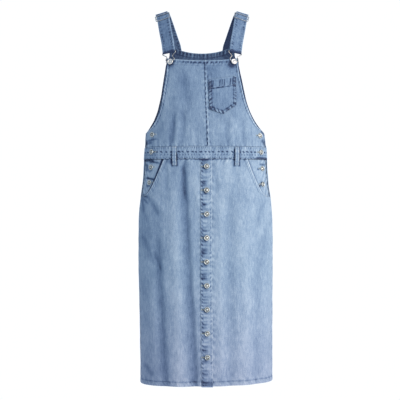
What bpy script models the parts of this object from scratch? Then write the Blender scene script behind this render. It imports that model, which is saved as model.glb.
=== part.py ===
# Denim overall dress with a button-through midi skirt, filled out as it is worn, with no wearer.
#
# Metres, +Z up. X runs to the right of the front view and the front faces -Y. The origin lies midway
# between the two shoulder crests, under the straps, where the wearer's shoulders hold the dress.
#
# Each cloth piece is a slab with a few columns and rows, bent on to the outline that the dress has at
# each height. "along" is the distance round that outline from the centre front, positive to the right,
# and "out" is the distance outwards from the outer face of the main cloth.

import math
from bisect import bisect_right
from collections import namedtuple
from functools import lru_cache

import bmesh
import bpy
from mathutils import Matrix, Vector

# Cloth and gaps
CLOTH = 0.0015  # one layer of washed denim with its turned edges
BAND_CLOTH = 0.0020  # folded band
SEAM = 0.0003  # gap between pieces that are sewn edge to edge
LAYER = 0.0005  # gap between a panel and a piece that lies on it
UNDER_LAYER = 0.0012  # gap to a piece under a strongly curved panel

# Heights, measured down from the shoulders
BIB_TOP_CENTRE = -0.1580
BIB_TOP_SIDE = -0.1490
BACK_TOP_CENTRE = -0.1120
BACK_TOP_SIDE = -0.0900
WAISTBAND_TOP = -0.4210
WAISTBAND_BOTTOM = -0.4590
HEM_CENTRE = -1.1518
HEM_RISE = 0.0037  # the dress hangs a little higher on its right
BAND_DROP = 0.0024  # how far the button band hangs below the skirt's edge
HEM_FOLD = 0.0120
HEM_CLOTH = 0.0027

# Places round the outline
SIDE_SEAM_FORWARD = 0.0280  # side seam and side opening lie this far in front of the widest point
CENTRE_SEAM = 0.0050
BAND_LEFT = -0.0159
BAND_RIGHT = 0.0191
STAND_LEFT = -0.0131
STAND_RIGHT = 0.0185
WAISTBAND_OUT = 0.0011

# Outline of the dress at each height. centre is how far its middle has swung to the right.
Section = namedtuple("Section", "z half_width front back centre")
SECTIONS = (
    Section(-0.100, 0.160, 0.088, 0.088, 0.0000),
    Section(-0.150, 0.168, 0.100, 0.094, 0.0010),
    Section(-0.220, 0.172, 0.115, 0.099, 0.0030),
    Section(-0.290, 0.178, 0.121, 0.096, 0.0050),
    Section(-0.360, 0.185, 0.112, 0.088, 0.0088),
    Section(-0.440, 0.192, 0.105, 0.083, 0.0110),
    Section(-0.520, 0.197, 0.114, 0.103, 0.0110),
    Section(-0.585, 0.205, 0.120, 0.117, 0.0110),
    Section(-0.650, 0.210, 0.123, 0.122, 0.0110),
    Section(-0.750, 0.211, 0.125, 0.120, 0.0110),
    Section(-0.950, 0.2085, 0.125, 0.116, 0.0125),
    Section(-1.165, 0.2070, 0.125, 0.112, 0.0140),
)
FRONT_SQUARENESS = 2.4  # 2 is an ellipse
BACK_SQUARENESS = 2.3
QUARTER_STEPS = 110

# Half width of the cloth at the armholes and of the skirt front at the slash pocket's mouth
Edge = namedtuple("Edge", "z half_width")
ARMHOLE_FRONT = (
    Edge(-0.149, 0.1105),
    Edge(-0.168, 0.1112),
    Edge(-0.198, 0.1136),
    Edge(-0.235, 0.1203),
    Edge(-0.271, 0.1270),
    Edge(-0.307, 0.1372),
    Edge(-0.325, 0.1443),
    Edge(-0.343, 0.1540),
    Edge(-0.361, 0.1672),
    Edge(-0.376, 0.1850),
)
ARMHOLE_BACK = (
    Edge(-0.090, 0.1062),
    Edge(-0.105, 0.1048),
    Edge(-0.120, 0.1050),
    Edge(-0.136, 0.1105),
    Edge(-0.152, 0.1170),
    Edge(-0.176, 0.1215),
    Edge(-0.215, 0.1290),
    Edge(-0.253, 0.1355),
    Edge(-0.291, 0.1450),
    Edge(-0.311, 0.1518),
    Edge(-0.330, 0.1600),
    Edge(-0.350, 0.1712),
    Edge(-0.374, 0.1862),
)
ARMHOLE_FLOOR = -0.3800  # lowest point of the back armhole, at the side seam
POCKET_MOUTH = (
    Edge(-0.459, 0.1290),
    Edge(-0.480, 0.1365),
    Edge(-0.503, 0.1460),
    Edge(-0.525, 0.1555),
    Edge(-0.545, 0.1655),
    Edge(-0.560, 0.1745),
    Edge(-0.569, 0.1840),
    Edge(-0.578, 0.2060),
)

# Heights of the rows, closer together where an edge turns quickly
BIB_ROW_HEIGHTS = (
    WAISTBAND_TOP, -0.3960, -0.3740, -0.3660, -0.3550, -0.3420, -0.3260, -0.3070,
    -0.2850, -0.2600, -0.2320, -0.2040, -0.1760, BIB_TOP_SIDE,
)
BACK_ROW_HEIGHTS = (
    WAISTBAND_TOP, -0.3980, ARMHOLE_FLOOR, -0.3740, -0.3550, -0.3320, -0.3050,
    -0.2740, -0.2400, -0.2050, -0.1760, -0.1550, -0.1360, -0.1180, BACK_TOP_SIDE,
)
SKIRT_ROW_HEIGHTS = (
    HEM_CENTRE, HEM_CENTRE + HEM_FOLD, -1.0850, -1.0150, -0.9400, -0.8650, -0.7900, -0.7200, -0.6600,
    -0.6150, -0.5780, -0.5735, -0.5670, -0.5580, -0.5420, -0.5220, -0.5000, -0.4790, WAISTBAND_BOTTOM,
)
SKIRT_COLUMNS = 15
SKIRT_BACK_COLUMNS = 23
CLOSING_ROWS = 12  # of the button band and its stand
BIB_COLUMNS = 9
BACK_COLUMNS = 18
WAISTBAND_COLUMNS = 22
CROWDING = 0.6  # 0 spaces columns evenly, 1 crowds them most towards the sides

# Largest folds of the skirt. A positive height is a ridge, a negative one a trough.
Fold = namedtuple("Fold", "face top_x top_z low_x low_z spread height")
FRONT, BACK = -1, 1
FOLDS = (
    Fold(FRONT, -0.070, -0.470, -0.033, -1.160, 0.016, -0.0045),
    Fold(FRONT, -0.100, -0.500, -0.079, -1.160, 0.021, 0.0035),
    Fold(FRONT, -0.154, -0.600, -0.127, -1.160, 0.015, -0.0045),
    Fold(FRONT, 0.044, -0.520, 0.045, -1.160, 0.016, 0.0022),
    Fold(FRONT, 0.075, -0.490, 0.073, -1.160, 0.018, -0.0030),
    Fold(FRONT, 0.110, -0.540, 0.119, -1.160, 0.020, 0.0028),
    Fold(FRONT, 0.162, -0.610, 0.158, -1.160, 0.014, -0.0032),
    Fold(BACK, -0.128, -0.560, -0.141, -1.160, 0.017, -0.0042),
    Fold(BACK, -0.082, -0.600, -0.090, -1.160, 0.022, 0.0030),
    Fold(BACK, -0.030, -0.520, -0.044, -1.160, 0.018, -0.0048),
    Fold(BACK, 0.026, -0.640, 0.018, -1.160, 0.022, 0.0026),
    Fold(BACK, 0.080, -0.540, 0.066, -1.160, 0.017, -0.0040),
    Fold(BACK, 0.146, -0.580, 0.131, -1.160, 0.016, -0.0036),
)
FOLD_FADE = 0.180  # length over which a fold grows below its top

# Chest pocket, its corners as distances from the dress's middle and heights
Corner = namedtuple("Corner", "x z")
POCKET_TOP_LEFT = Corner(0.0157, -0.2190)
POCKET_TOP_RIGHT = Corner(0.1010, -0.2060)
POCKET_LOW_LEFT = Corner(0.0165, -0.3095)
POCKET_LOW_RIGHT = Corner(0.0990, -0.2950)
POCKET_POINT = 0.0210
POCKET_BAND = 0.0270
POCKET_LAYER = 0.0008  # gap between the bib and the chest pocket
POCKET_BAND_EXTRA = 0.0006
POCKET_COLUMNS = 6
POCKET_ROWS = 4  # below its band

# Slash pocket backs and the stands of the side openings
POCKET_BACK_INNER = 0.1050
POCKET_BACK_BOTTOM = -0.6150
POCKET_BACK_OUT = -CLOTH - UNDER_LAYER
POCKET_BACK_COLUMNS = 10
POCKET_BACK_ROWS = 5
SIDE_STAND_REACHES = (-0.0480, -0.0320, -0.0160, SEAM, 0.0060, 0.0140)  # back from the side seam
SIDE_STAND_HEIGHTS = (-0.5760, -0.5450, -0.5150, -0.4850, -0.4570, -0.4470, -0.4200, -0.3770)
SIDE_STAND_OUT = -CLOTH - UNDER_LAYER
SIDE_STAND_DEEP_OUT = POCKET_BACK_OUT - CLOTH - UNDER_LAYER

# Belt loops: strips that are sewn flat at both ends and stand off the waistband between them
LOOP_WIDTH = 0.0120
LOOP_CLOTH = 0.0016
LOOP_FRONT_X = 0.0955
LOOP_BACK_X = 0.1000
Rise = namedtuple("Rise", "z out")
LOOP_RISES = (
    Rise(-0.4790, LAYER),
    Rise(-0.4700, LAYER),
    Rise(-0.4640, 0.0026),
    Rise(-0.4540, 0.0041),
    Rise(-0.4400, 0.0045),
    Rise(-0.4290, 0.0038),
    Rise(-0.4250, WAISTBAND_OUT + LAYER),
    Rise(-0.4215, WAISTBAND_OUT + LAYER),
)

# Buttons: a turned cap on a shank that goes through its buttonhole to the cloth under it
CAP_RADIUS = 0.0085
BIB_CAP_RADIUS = 0.0090
CAP_HEIGHT = 0.0027
SHANK_RADIUS = 0.0023
BUTTON_SIDES = 12
BUTTON_GAP = 0.0004
HOLE_HEIGHT = 0.0054
HOLE_LENGTH = 0.0150
HOLE_DEPTH = 0.0140
FRONT_BUTTON_X = 0.0030
FRONT_BUTTON_TOP = -0.4825
FRONT_BUTTON_PITCH = 0.0726
FRONT_BUTTONS = 9
Spot = namedtuple("Spot", "x z")
SideButton = namedtuple("SideButton", "host left right cloth_out stand_out")
SIDE_BUTTONS = (
    SideButton("bib_front", Spot(0.1638, -0.3826), Spot(0.1690, -0.3853), 0.0, SIDE_STAND_OUT),
    SideButton("waistband_front", Spot(0.1666, -0.4363), Spot(0.1710, -0.4372), WAISTBAND_OUT, SIDE_STAND_OUT),
    SideButton("pocket_back", Spot(0.1709, -0.4837), Spot(0.1779, -0.4874), POCKET_BACK_OUT, SIDE_STAND_DEEP_OUT),
    SideButton("pocket_back", Spot(0.1755, -0.5304), Spot(0.1790, -0.5360), POCKET_BACK_OUT, SIDE_STAND_DEEP_OUT),
)
BIB_BUTTON_X = 0.0968
BIB_BUTTON_Z = -0.1610

# Straps, buckles and sliders
STRAP_WIDTH = 0.0380
STRAP_CLOTH = 0.0022
STRAP_SLOPE = math.radians(17.0)  # the outer edge lies lower, as the shoulder does
STRAP_SEWN = 0.0250  # length that lies on the back bib
STRAP_BACK_X = 0.0868
STRAP_BACK_LEAN = 0.2  # the sewn end leans in by this much of its length
STRAP_BACK_GAP = 0.0008
STRAP_COLUMNS = 2
WIRE_RADIUS = 0.00125
WIRE_GAP = 0.00035
TURN_RADIUS = WIRE_RADIUS + WIRE_GAP + STRAP_CLOTH / 2  # strap's middle round the buckle's bar
TAIL_NEAR = 0.0028  # between the middles of the strap and its tail, half way up
TAIL_CLOSING = 0.25  # share of the tail over which it closes in, at the bar and at the slider
TAIL_CLOSED = 0.78  # share at which it has opened again for the slider
BAR_UP = 0.0318  # from the bib button's middle up to the bar's middle
BUCKLE_OUT = 0.0019  # from the bib's outer face to the wire's middle
STRAP_TURN_STEPS = 6
STRAP_SQUARING = 0.0600  # length above the buckle over which the strap turns square to it
SLIDER_DOWN = 0.0370  # from the crest down the strap to the slider's upper edge
SLIDER_HEIGHT = 0.0290
SLIDER_HALF_WIDTH = 0.0240
SLIDER_RAIL = 0.0028
SLIDER_CLOTH_GAP = 0.0003
Way = namedtuple("Way", "x y z")
SHOULDER_WAY = (  # from just above the back bib, over the crest, to just above the buckle
    Way(0.0974, 0.0755, -0.0620),
    Way(0.1104, 0.0600, -0.0260),
    Way(0.1200, 0.0370, -0.0030),
    Way(0.1280, 0.0080, 0.0036),
    Way(0.1255, -0.0220, -0.0040),
    Way(0.1200, -0.0480, -0.0270),
    Way(0.1138, -0.0670, -0.0620),
    Way(0.1070, -0.0800, -0.0980),
)
WAY_STEPS = 2  # rows of the strap between two of these places
Bend = namedtuple("Bend", "across down")
BUCKLE_BENDS = (  # right half of the wire, from the bar's end to the foot of the eye
    Bend(0.0206, 0.0000),
    Bend(0.0210, 0.0034),
    Bend(0.0196, 0.0062),
    Bend(0.0138, 0.0104),
    Bend(0.0098, 0.0136),
    Bend(0.0095, 0.0170),
    Bend(0.0122, 0.0205),
    Bend(0.0134, 0.0242),
    Bend(0.0120, 0.0282),
    Bend(0.0078, 0.0312),
    Bend(0.0052, 0.0338),
    Bend(0.0024, 0.0362),
)
BUCKLE_FOOT = 0.0368

# Finishes
DENIM = (0.24, 0.34, 0.50)
DENIM_DARK = (0.17, 0.25, 0.38)
NICKEL = (0.72, 0.71, 0.69)


# Small helpers


def lerp(start, end, share):
    return start + (end - start) * share


def evenly(count):
    return [step / count for step in range(count + 1)]


def crowded(count):
    """Shares from 0 to 1 that lie closer together towards 1."""
    return [lerp(share, math.sin(share * math.pi / 2), CROWDING) for share in evenly(count)]


def crowded_both(count):
    """Shares from 0 to 1 that lie closer together towards both ends."""
    return [
        lerp(share, (1 + math.sin((share - 0.5) * math.pi)) / 2, CROWDING) for share in evenly(count)
    ]


def shares(values):
    """Turns rising or falling values into shares of the whole way, 0 to 1."""
    return [(value - values[0]) / (values[-1] - values[0]) for value in values]


def smooth_step(share):
    share = min(max(share, 0.0), 1.0)
    return share * share * (3.0 - 2.0 * share)


def glide(start, end, leave, arrive, t):
    """Goes smoothly from start to end, at the given grades where it leaves and arrives."""
    return (
        start * (1 + 2 * t) * (1 - t) ** 2
        + leave * t * (1 - t) ** 2
        + end * t * t * (3 - 2 * t)
        + arrive * t * t * (t - 1)
    )


class SmoothCurve:
    """Smooth curve through pairs of a place and a value, which never passes beyond them."""

    def __init__(self, pairs):
        pairs = sorted(pairs)
        self.places = [place for place, value in pairs]
        self.values = [value for place, value in pairs]
        spans = zip(pairs, pairs[1:])
        grades = [(high[1] - low[1]) / (high[0] - low[0]) for low, high in spans]
        inner = [2 * a * b / (a + b) if a * b > 0 else 0.0 for a, b in zip(grades, grades[1:])]
        self.grades = [grades[0], *inner, grades[-1]]

    def __call__(self, place):
        place = min(max(place, self.places[0]), self.places[-1])
        low = min(max(bisect_right(self.places, place) - 1, 0), len(self.places) - 2)
        span = self.places[low + 1] - self.places[low]
        leave, arrive = self.grades[low] * span, self.grades[low + 1] * span
        share = (place - self.places[low]) / span
        return glide(self.values[low], self.values[low + 1], leave, arrive, share)


half_width_at = SmoothCurve([(row.z, row.half_width) for row in SECTIONS])
front_depth_at = SmoothCurve([(row.z, row.front) for row in SECTIONS])
back_depth_at = SmoothCurve([(row.z, row.back) for row in SECTIONS])
centre_at = SmoothCurve([(row.z, row.centre) for row in SECTIONS])
armhole_front_at = SmoothCurve([tuple(row) for row in ARMHOLE_FRONT])
armhole_back_at = SmoothCurve([tuple(row) for row in ARMHOLE_BACK])
pocket_mouth_at = SmoothCurve([tuple(row) for row in POCKET_MOUTH])


# The dress's outline


@lru_cache(maxsize=None)
def outline(z):
    """Right half of the outline at a height, centre front to centre back, with its running length."""
    half_width = half_width_at(z)
    points = []
    lengths = [0.0]
    for step in range(-QUARTER_STEPS, QUARTER_STEPS + 1):
        turn = step / QUARTER_STEPS * math.pi / 2
        if turn < 0:
            depth, squareness = front_depth_at(z), FRONT_SQUARENESS
        else:
            depth, squareness = back_depth_at(z), BACK_SQUARENESS
        x = half_width * abs(math.cos(turn)) ** (2 / squareness)
        y = math.copysign(depth * abs(math.sin(turn)) ** (2 / squareness), turn)
        if points:
            lengths.append(lengths[-1] + math.dist((x, y), points[-1]))
        points.append((x, y))
    return points, lengths


def girth(z):
    """Half of the way round, from centre front to centre back."""
    return outline(z)[1][-1]


def side_along(z):
    """Distance from the centre front to the side seam."""
    return outline(z)[1][QUARTER_STEPS] - SIDE_SEAM_FORWARD


def front_along(z, x):
    """Distance along the front, out from the centre, to where the outline is x wide."""
    points, lengths = outline(z)
    widths = [point[0] for point in points[: QUARTER_STEPS + 1]]
    low = min(bisect_right(widths, x) - 1, QUARTER_STEPS - 1)
    share = (x - widths[low]) / (widths[low + 1] - widths[low])
    return lerp(lengths[low], lengths[low + 1], min(share, 1.0))


def back_reach(z, x):
    """Distance along the back, out from its centre, to where the outline is x wide."""
    points, lengths = outline(z)
    widths = [point[0] for point in reversed(points[QUARTER_STEPS:])]
    low = min(bisect_right(widths, x) - 1, QUARTER_STEPS - 1)
    share = min((x - widths[low]) / (widths[low + 1] - widths[low]), 1.0)
    top = len(lengths) - 1 - low
    return lengths[-1] - lerp(lengths[top], lengths[top - 1], share)


def from_back(z, reach):
    """Distance along for a place that is reach away from the centre back."""
    return math.copysign(girth(z) - abs(reach), reach)


def fold_height(x, y, z):
    """How far the skirt's folds move the cloth out at a place of the plain outline."""
    height = 0.0
    for fold in FOLDS:
        down = (fold.top_z - z) / (fold.top_z - fold.low_z)
        if down <= 0 or y * fold.face <= 0:
            continue
        away = (x - lerp(fold.top_x, fold.low_x, down)) / fold.spread
        growth = smooth_step((fold.top_z - z) / FOLD_FADE)
        height += fold.height * growth * math.exp(-away * away)
    return height


def surface(z, along):
    """Place on the plain outline, and the direction out of it."""
    z = round(z, 6)
    points, lengths = outline(z)
    distance = min(abs(along), lengths[-1])
    low = min(bisect_right(lengths, distance) - 1, len(lengths) - 2)
    share = (distance - lengths[low]) / (lengths[low + 1] - lengths[low])
    x = lerp(points[low][0], points[low + 1][0], share)
    y = lerp(points[low][1], points[low + 1][1], share)
    half_width = half_width_at(z)
    if y < 0:
        depth, squareness = front_depth_at(z), FRONT_SQUARENESS
    else:
        depth, squareness = back_depth_at(z), BACK_SQUARENESS
    normal = Vector((
        (x / half_width) ** (squareness - 1) / half_width,
        math.copysign((abs(y) / depth) ** (squareness - 1) / depth, y),
        0.0,
    )).normalized()
    if along < 0:
        x = -x
        normal.x = -normal.x
    return Vector((x, y, z)), normal


def cloth_point(z, along, out=0.0):
    place, normal = surface(z, along)
    place += normal * (out + fold_height(place.x, place.y, z))
    place.x += centre_at(z)
    return place


# Making objects


def make_finish(name, colour, roughness, metallic):
    finish = bpy.data.materials.new(name)
    finish.use_nodes = True
    shader = finish.node_tree.nodes["Principled BSDF"]
    shader.inputs["Base Color"].default_value = (*colour, 1.0)
    shader.inputs["Roughness"].default_value = roughness
    shader.inputs["Metallic"].default_value = metallic
    return finish


def add_object(name, data, colour, roughness=0.85, metallic=0.0):
    thing = bpy.data.objects.new(name, data)
    bpy.context.scene.collection.objects.link(thing)
    data.materials.append(make_finish(name, colour, roughness, metallic))
    return thing


def mesh_from(name, shape):
    """Turns a bmesh into a mesh whose faces all point outwards."""
    bmesh.ops.recalc_face_normals(shape, faces=shape.faces)
    if shape.calc_volume(signed=True) < 0:
        bmesh.ops.reverse_faces(shape, faces=shape.faces)
    mesh = bpy.data.meshes.new(name)
    shape.to_mesh(mesh)
    shape.free()
    return mesh


def bent_slab(name, columns, rows, bend, windows=()):
    """Closed slab between two grids. bend(u, v, outer) gives a point's place, and windows are the
    (column, row) cells that are left open."""
    shape = bmesh.new()
    bmesh.ops.create_grid(shape, x_segments=len(columns) - 1, y_segments=len(rows) - 1, size=0.5)
    last_column, last_row = len(columns) - 1, len(rows) - 1
    if windows:
        open_cells = []
        for face in shape.faces:
            middle = face.calc_center_median()
            cell = (int((middle.x + 0.5) * last_column), int((middle.y + 0.5) * last_row))
            if cell in windows:
                open_cells.append(face)
        bmesh.ops.delete(shape, geom=open_cells, context="FACES")
    raised = bmesh.ops.extrude_face_region(shape, geom=shape.faces[:])["geom"]
    for part in raised:
        if isinstance(part, bmesh.types.BMVert):
            part.co.z = 1.0
    for vert in shape.verts:
        u = columns[round((vert.co.x + 0.5) * last_column)]
        v = rows[round((vert.co.y + 0.5) * last_row)]
        vert.co = bend(u, v, vert.co.z > 0.5)
    return mesh_from(name, shape)


def cloth_piece(name, columns, rows, place, inner=-CLOTH, outer=0.0, colour=DENIM):
    """Piece of cloth. place(u, v) gives its height and distance along, and inner and outer are
    distances out, or functions of u and v that give them."""

    def bend(u, v, is_outer):
        z, along = place(u, v)
        level = outer if is_outer else inner
        out = level(u, v) if callable(level) else level
        return cloth_point(z, along, out)

    return add_object(name, bent_slab(name, columns, rows, bend), colour)


def side_name(side):
    return "right" if side > 0 else "left"


# Bodice


def front_edge(z):
    """Outer edge of the front bib: the armhole, then the side opening."""
    return min(front_along(z, armhole_front_at(z)), side_along(z) - SEAM / 2)


def back_edge(z):
    """Outer edge of the back bib, as its reach from the centre back."""
    full = girth(z) - side_along(z) - SEAM / 2
    if z <= ARMHOLE_FLOOR:
        return full
    curve_end = ARMHOLE_BACK[-1].z
    if z < curve_end:
        at_curve_end = back_reach(curve_end, armhole_back_at(curve_end))
        return lerp(full, at_curve_end, (z - ARMHOLE_FLOOR) / (curve_end - ARMHOLE_FLOOR))
    return back_reach(z, armhole_back_at(z))


def make_front_bib(side):
    seam = CENTRE_SEAM + side * SEAM / 2

    def place(u, v):
        bottom = WAISTBAND_TOP + SEAM
        top = lerp(BIB_TOP_CENTRE, BIB_TOP_SIDE, u * u)
        edge_z = lerp(bottom, BIB_TOP_SIDE, v)
        return lerp(bottom, top, v), lerp(seam, side * front_edge(edge_z), u)

    name = "bib_front_" + side_name(side)
    return cloth_piece(name, crowded(BIB_COLUMNS), shares(BIB_ROW_HEIGHTS), place)


def make_back_bib():
    def place(u, v):
        across = 2 * u - 1
        bottom = WAISTBAND_TOP + SEAM
        top = lerp(BACK_TOP_CENTRE, BACK_TOP_SIDE, across * across)
        z = lerp(bottom, top, v)
        edge_z = lerp(bottom, BACK_TOP_SIDE, v)
        return z, from_back(z, across * back_edge(edge_z))

    cloth_piece("bib_back", crowded_both(BACK_COLUMNS), shares(BACK_ROW_HEIGHTS), place)


def make_chest_pocket():
    height = POCKET_TOP_LEFT.z - POCKET_LOW_LEFT.z
    band_start = 1 - POCKET_BAND / height

    def place(u, v):
        low_x = lerp(POCKET_LOW_LEFT.x, POCKET_LOW_RIGHT.x, u)
        top_x = lerp(POCKET_TOP_LEFT.x, POCKET_TOP_RIGHT.x, u)
        point = POCKET_POINT * (1 - abs(2 * u - 1))
        low_z = lerp(POCKET_LOW_LEFT.z, POCKET_LOW_RIGHT.z, u) - point
        top_z = lerp(POCKET_TOP_LEFT.z, POCKET_TOP_RIGHT.z, u)
        z = lerp(low_z, top_z, v)
        return z, front_along(z, lerp(low_x, top_x, v))

    def outer(u, v):
        return POCKET_LAYER + CLOTH + (POCKET_BAND_EXTRA if v >= band_start else 0.0)

    rows = [share * band_start for share in evenly(POCKET_ROWS)] + [1.0]
    cloth_piece("chest_pocket", evenly(POCKET_COLUMNS), rows, place, POCKET_LAYER, outer)


# Waistband


def make_waistbands():
    def place_front(u, v):
        z = lerp(WAISTBAND_BOTTOM, WAISTBAND_TOP, v)
        return z, (2 * u - 1) * (side_along(z) - SEAM / 2)

    def place_back(u, v):
        z = lerp(WAISTBAND_BOTTOM, WAISTBAND_TOP, v)
        return z, from_back(z, (2 * u - 1) * (girth(z) - side_along(z) - SEAM / 2))

    columns, rows = crowded_both(WAISTBAND_COLUMNS), evenly(1)
    cloth_piece("waistband_back", columns, rows, place_back, -CLOTH, WAISTBAND_OUT)
    return cloth_piece("waistband_front", columns, rows, place_front, -CLOTH, WAISTBAND_OUT)


def make_belt_loop(name, place_along):
    """Loop whose middle is place_along(z) from the centre front."""
    rows = shares([rise.z for rise in LOOP_RISES])
    rises = dict(zip(rows, LOOP_RISES))

    def place(u, v):
        z = rises[v].z
        return z, place_along(z) + (u - 0.5) * LOOP_WIDTH

    cloth_piece(
        name,
        evenly(1),
        rows,
        place,
        lambda u, v: rises[v].out,
        lambda u, v: rises[v].out + LOOP_CLOTH,
    )


def make_belt_loops():
    for side in (-1, 1):
        make_belt_loop(
            "belt_loop_front_" + side_name(side),
            lambda z, side=side: side * front_along(z, LOOP_FRONT_X),
        )
        make_belt_loop(
            "belt_loop_back_" + side_name(side),
            lambda z, side=side: from_back(z, side * back_reach(z, LOOP_BACK_X)),
        )
    # Beside the centre back, because distances along run out there
    make_belt_loop("belt_loop_back_centre", lambda z: girth(z) - LOOP_WIDTH)


# Skirt


def hem_at(across):
    """Height of the hem, where across is -1 at the left side seam and 1 at the right one."""
    return HEM_CENTRE + HEM_RISE * math.sin(across * math.pi / 2)


def skirt_inner(u, v):
    """The skirt's inner face, which is thicker over the turned hem, the two lowest rows."""
    second_row = shares(SKIRT_ROW_HEIGHTS)[1]
    return -HEM_CLOTH if v <= second_row else -CLOTH


def mouth_edge(z):
    """Outer edge of the skirt front: the slash pocket's mouth, then the side seam."""
    seam = side_along(z) - SEAM / 2
    if z <= POCKET_MOUTH[-1].z:
        return seam
    return min(front_along(z, min(pocket_mouth_at(z), half_width_at(z))), seam)


def make_skirt_front(side):
    start = STAND_RIGHT + SEAM if side > 0 else STAND_LEFT - SEAM
    columns, rows = crowded(SKIRT_COLUMNS), shares(SKIRT_ROW_HEIGHTS)

    def place(u, v):
        z = lerp(hem_at(side * u), WAISTBAND_BOTTOM - SEAM, v)
        edge_z = lerp(hem_at(side), WAISTBAND_BOTTOM - SEAM, v)
        return z, lerp(start, side * mouth_edge(edge_z), u)

    cloth_piece("skirt_front_" + side_name(side), columns, rows, place, skirt_inner)


def make_skirt_back():
    def place(u, v):
        across = 2 * u - 1
        z = lerp(hem_at(across), WAISTBAND_BOTTOM - SEAM, v)
        return z, from_back(z, across * (girth(z) - side_along(z) - SEAM / 2))

    columns, rows = crowded_both(SKIRT_BACK_COLUMNS), shares(SKIRT_ROW_HEIGHTS)
    cloth_piece("skirt_back", columns, rows, place, skirt_inner)


def make_pocket_back(side):
    def place(u, v):
        z = lerp(POCKET_BACK_BOTTOM, WAISTBAND_BOTTOM - SEAM, v)
        start = front_along(z, POCKET_BACK_INNER)
        return z, side * lerp(start, side_along(z) - SEAM / 2, u)

    name = "pocket_back_" + side_name(side)
    inner, outer = POCKET_BACK_OUT - CLOTH, POCKET_BACK_OUT
    columns, rows = evenly(POCKET_BACK_COLUMNS), evenly(POCKET_BACK_ROWS)
    return cloth_piece(name, columns, rows, place, inner, outer, DENIM_DARK)


def make_side_stand(side):
    """Strip under the side opening's front edge. It runs on behind the slash pocket's back, so it
    lies deeper there, and comes out again under the back panels."""
    columns, rows = shares(SIDE_STAND_REACHES), shares(SIDE_STAND_HEIGHTS)
    reach_of, height_of = dict(zip(columns, SIDE_STAND_REACHES)), dict(zip(rows, SIDE_STAND_HEIGHTS))

    def place(u, v):
        z = height_of[v]
        return z, side * (side_along(z) + reach_of[u])

    def outer(u, v):
        deep = height_of[v] < WAISTBAND_BOTTOM + BAND_CLOTH + SEAM and reach_of[u] <= SEAM
        return SIDE_STAND_DEEP_OUT if deep else SIDE_STAND_OUT

    def inner(u, v):
        return outer(u, v) - CLOTH

    cloth_piece("side_stand_" + side_name(side), columns, rows, place, inner, outer, DENIM_DARK)


def make_front_closing():
    """Stand under the front opening and the band with the buttonholes over it."""

    def strip(left, right, drop=0.0):
        def place(u, v):
            z = lerp(hem_at(0) - drop, WAISTBAND_BOTTOM - SEAM, v)
            return z, lerp(left, right, u)

        return place

    rows = evenly(CLOSING_ROWS)
    cloth_piece("button_stand", evenly(3), rows, strip(STAND_LEFT, STAND_RIGHT), colour=DENIM_DARK)
    place = strip(BAND_LEFT, BAND_RIGHT, BAND_DROP)
    return cloth_piece("button_band", evenly(3), rows, place, LAYER, LAYER + BAND_CLOTH)


# Buttons and buttonholes


def axes_matrix(across, up, normal, origin):
    return Matrix((
        (across.x, up.x, normal.x, origin.x),
        (across.y, up.y, normal.y, origin.y),
        (across.z, up.z, normal.z, origin.z),
        (0, 0, 0, 1),
    ))


def cloth_frame(z, along):
    """Frame on the cloth's outer face: X to the right, Y up the cloth and Z out of it."""
    reach = CAP_RADIUS
    up = (cloth_point(z + reach, along) - cloth_point(z - reach, along)).normalized()
    across = cloth_point(z, along + reach) - cloth_point(z, along - reach)
    normal = across.cross(up).normalized()
    return axes_matrix(up.cross(normal), up, normal, cloth_point(z, along))


def button_mesh(name, cap_radius, cap_under, shank_foot):
    """Turned button with a raised rim, a dished ring and a low boss. Heights are measured out from
    the frame that it is placed by."""
    profile = (
        (0.0, shank_foot),
        (SHANK_RADIUS, shank_foot),
        (SHANK_RADIUS, cap_under),
        (cap_radius * 0.94, cap_under),
        (cap_radius, cap_under + CAP_HEIGHT * 0.35),
        (cap_radius * 0.93, cap_under + CAP_HEIGHT * 0.85),
        (cap_radius * 0.80, cap_under + CAP_HEIGHT),
        (cap_radius * 0.66, cap_under + CAP_HEIGHT * 0.66),
        (cap_radius * 0.40, cap_under + CAP_HEIGHT * 0.80),
        (0.0, cap_under + CAP_HEIGHT * 0.95),
    )
    shape = bmesh.new()
    verts = [shape.verts.new((radius, 0.0, height)) for radius, height in profile]
    edges = [shape.edges.new(pair) for pair in zip(verts, verts[1:])]
    bmesh.ops.spin(
        shape,
        geom=verts + edges,
        cent=(0, 0, 0),
        axis=(0, 0, 1),
        angle=math.tau,
        steps=BUTTON_SIDES,
        use_merge=True,
    )
    bmesh.ops.remove_doubles(shape, verts=shape.verts, dist=1e-6)
    mesh = mesh_from(name, shape)
    mesh.shade_smooth()
    mesh.set_sharp_from_angle(angle=math.radians(35))
    return mesh


def add_button(name, mesh, frame):
    button = add_object(name, mesh.copy(), NICKEL, 0.35, 1.0)
    button.matrix_world = frame
    return button


def cut_buttonholes(host, frames_and_sides):
    """Cuts a lying slot under each button, which runs from its shank towards the slot's side."""
    shape = bmesh.new()
    shank_end = SHANK_RADIUS + BUTTON_GAP
    for frame, side in frames_and_sides:
        middle = side * (HOLE_LENGTH / 2 - shank_end)
        place = frame @ Matrix.Translation((middle, 0, 0))
        scale = Matrix.Diagonal((HOLE_LENGTH, HOLE_HEIGHT, HOLE_DEPTH, 1))
        bmesh.ops.create_cube(shape, size=1.0, matrix=place @ scale)
    cutter = add_object(host.name + "_hole_cutter", mesh_from("hole_cutter", shape), DENIM)
    cutter.hide_render = True
    cutter.display_type = "WIRE"
    cut = host.modifiers.new("buttonholes", "BOOLEAN")
    cut.operation = "DIFFERENCE"
    cut.solver = "EXACT"
    cut.object = cutter


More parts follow.
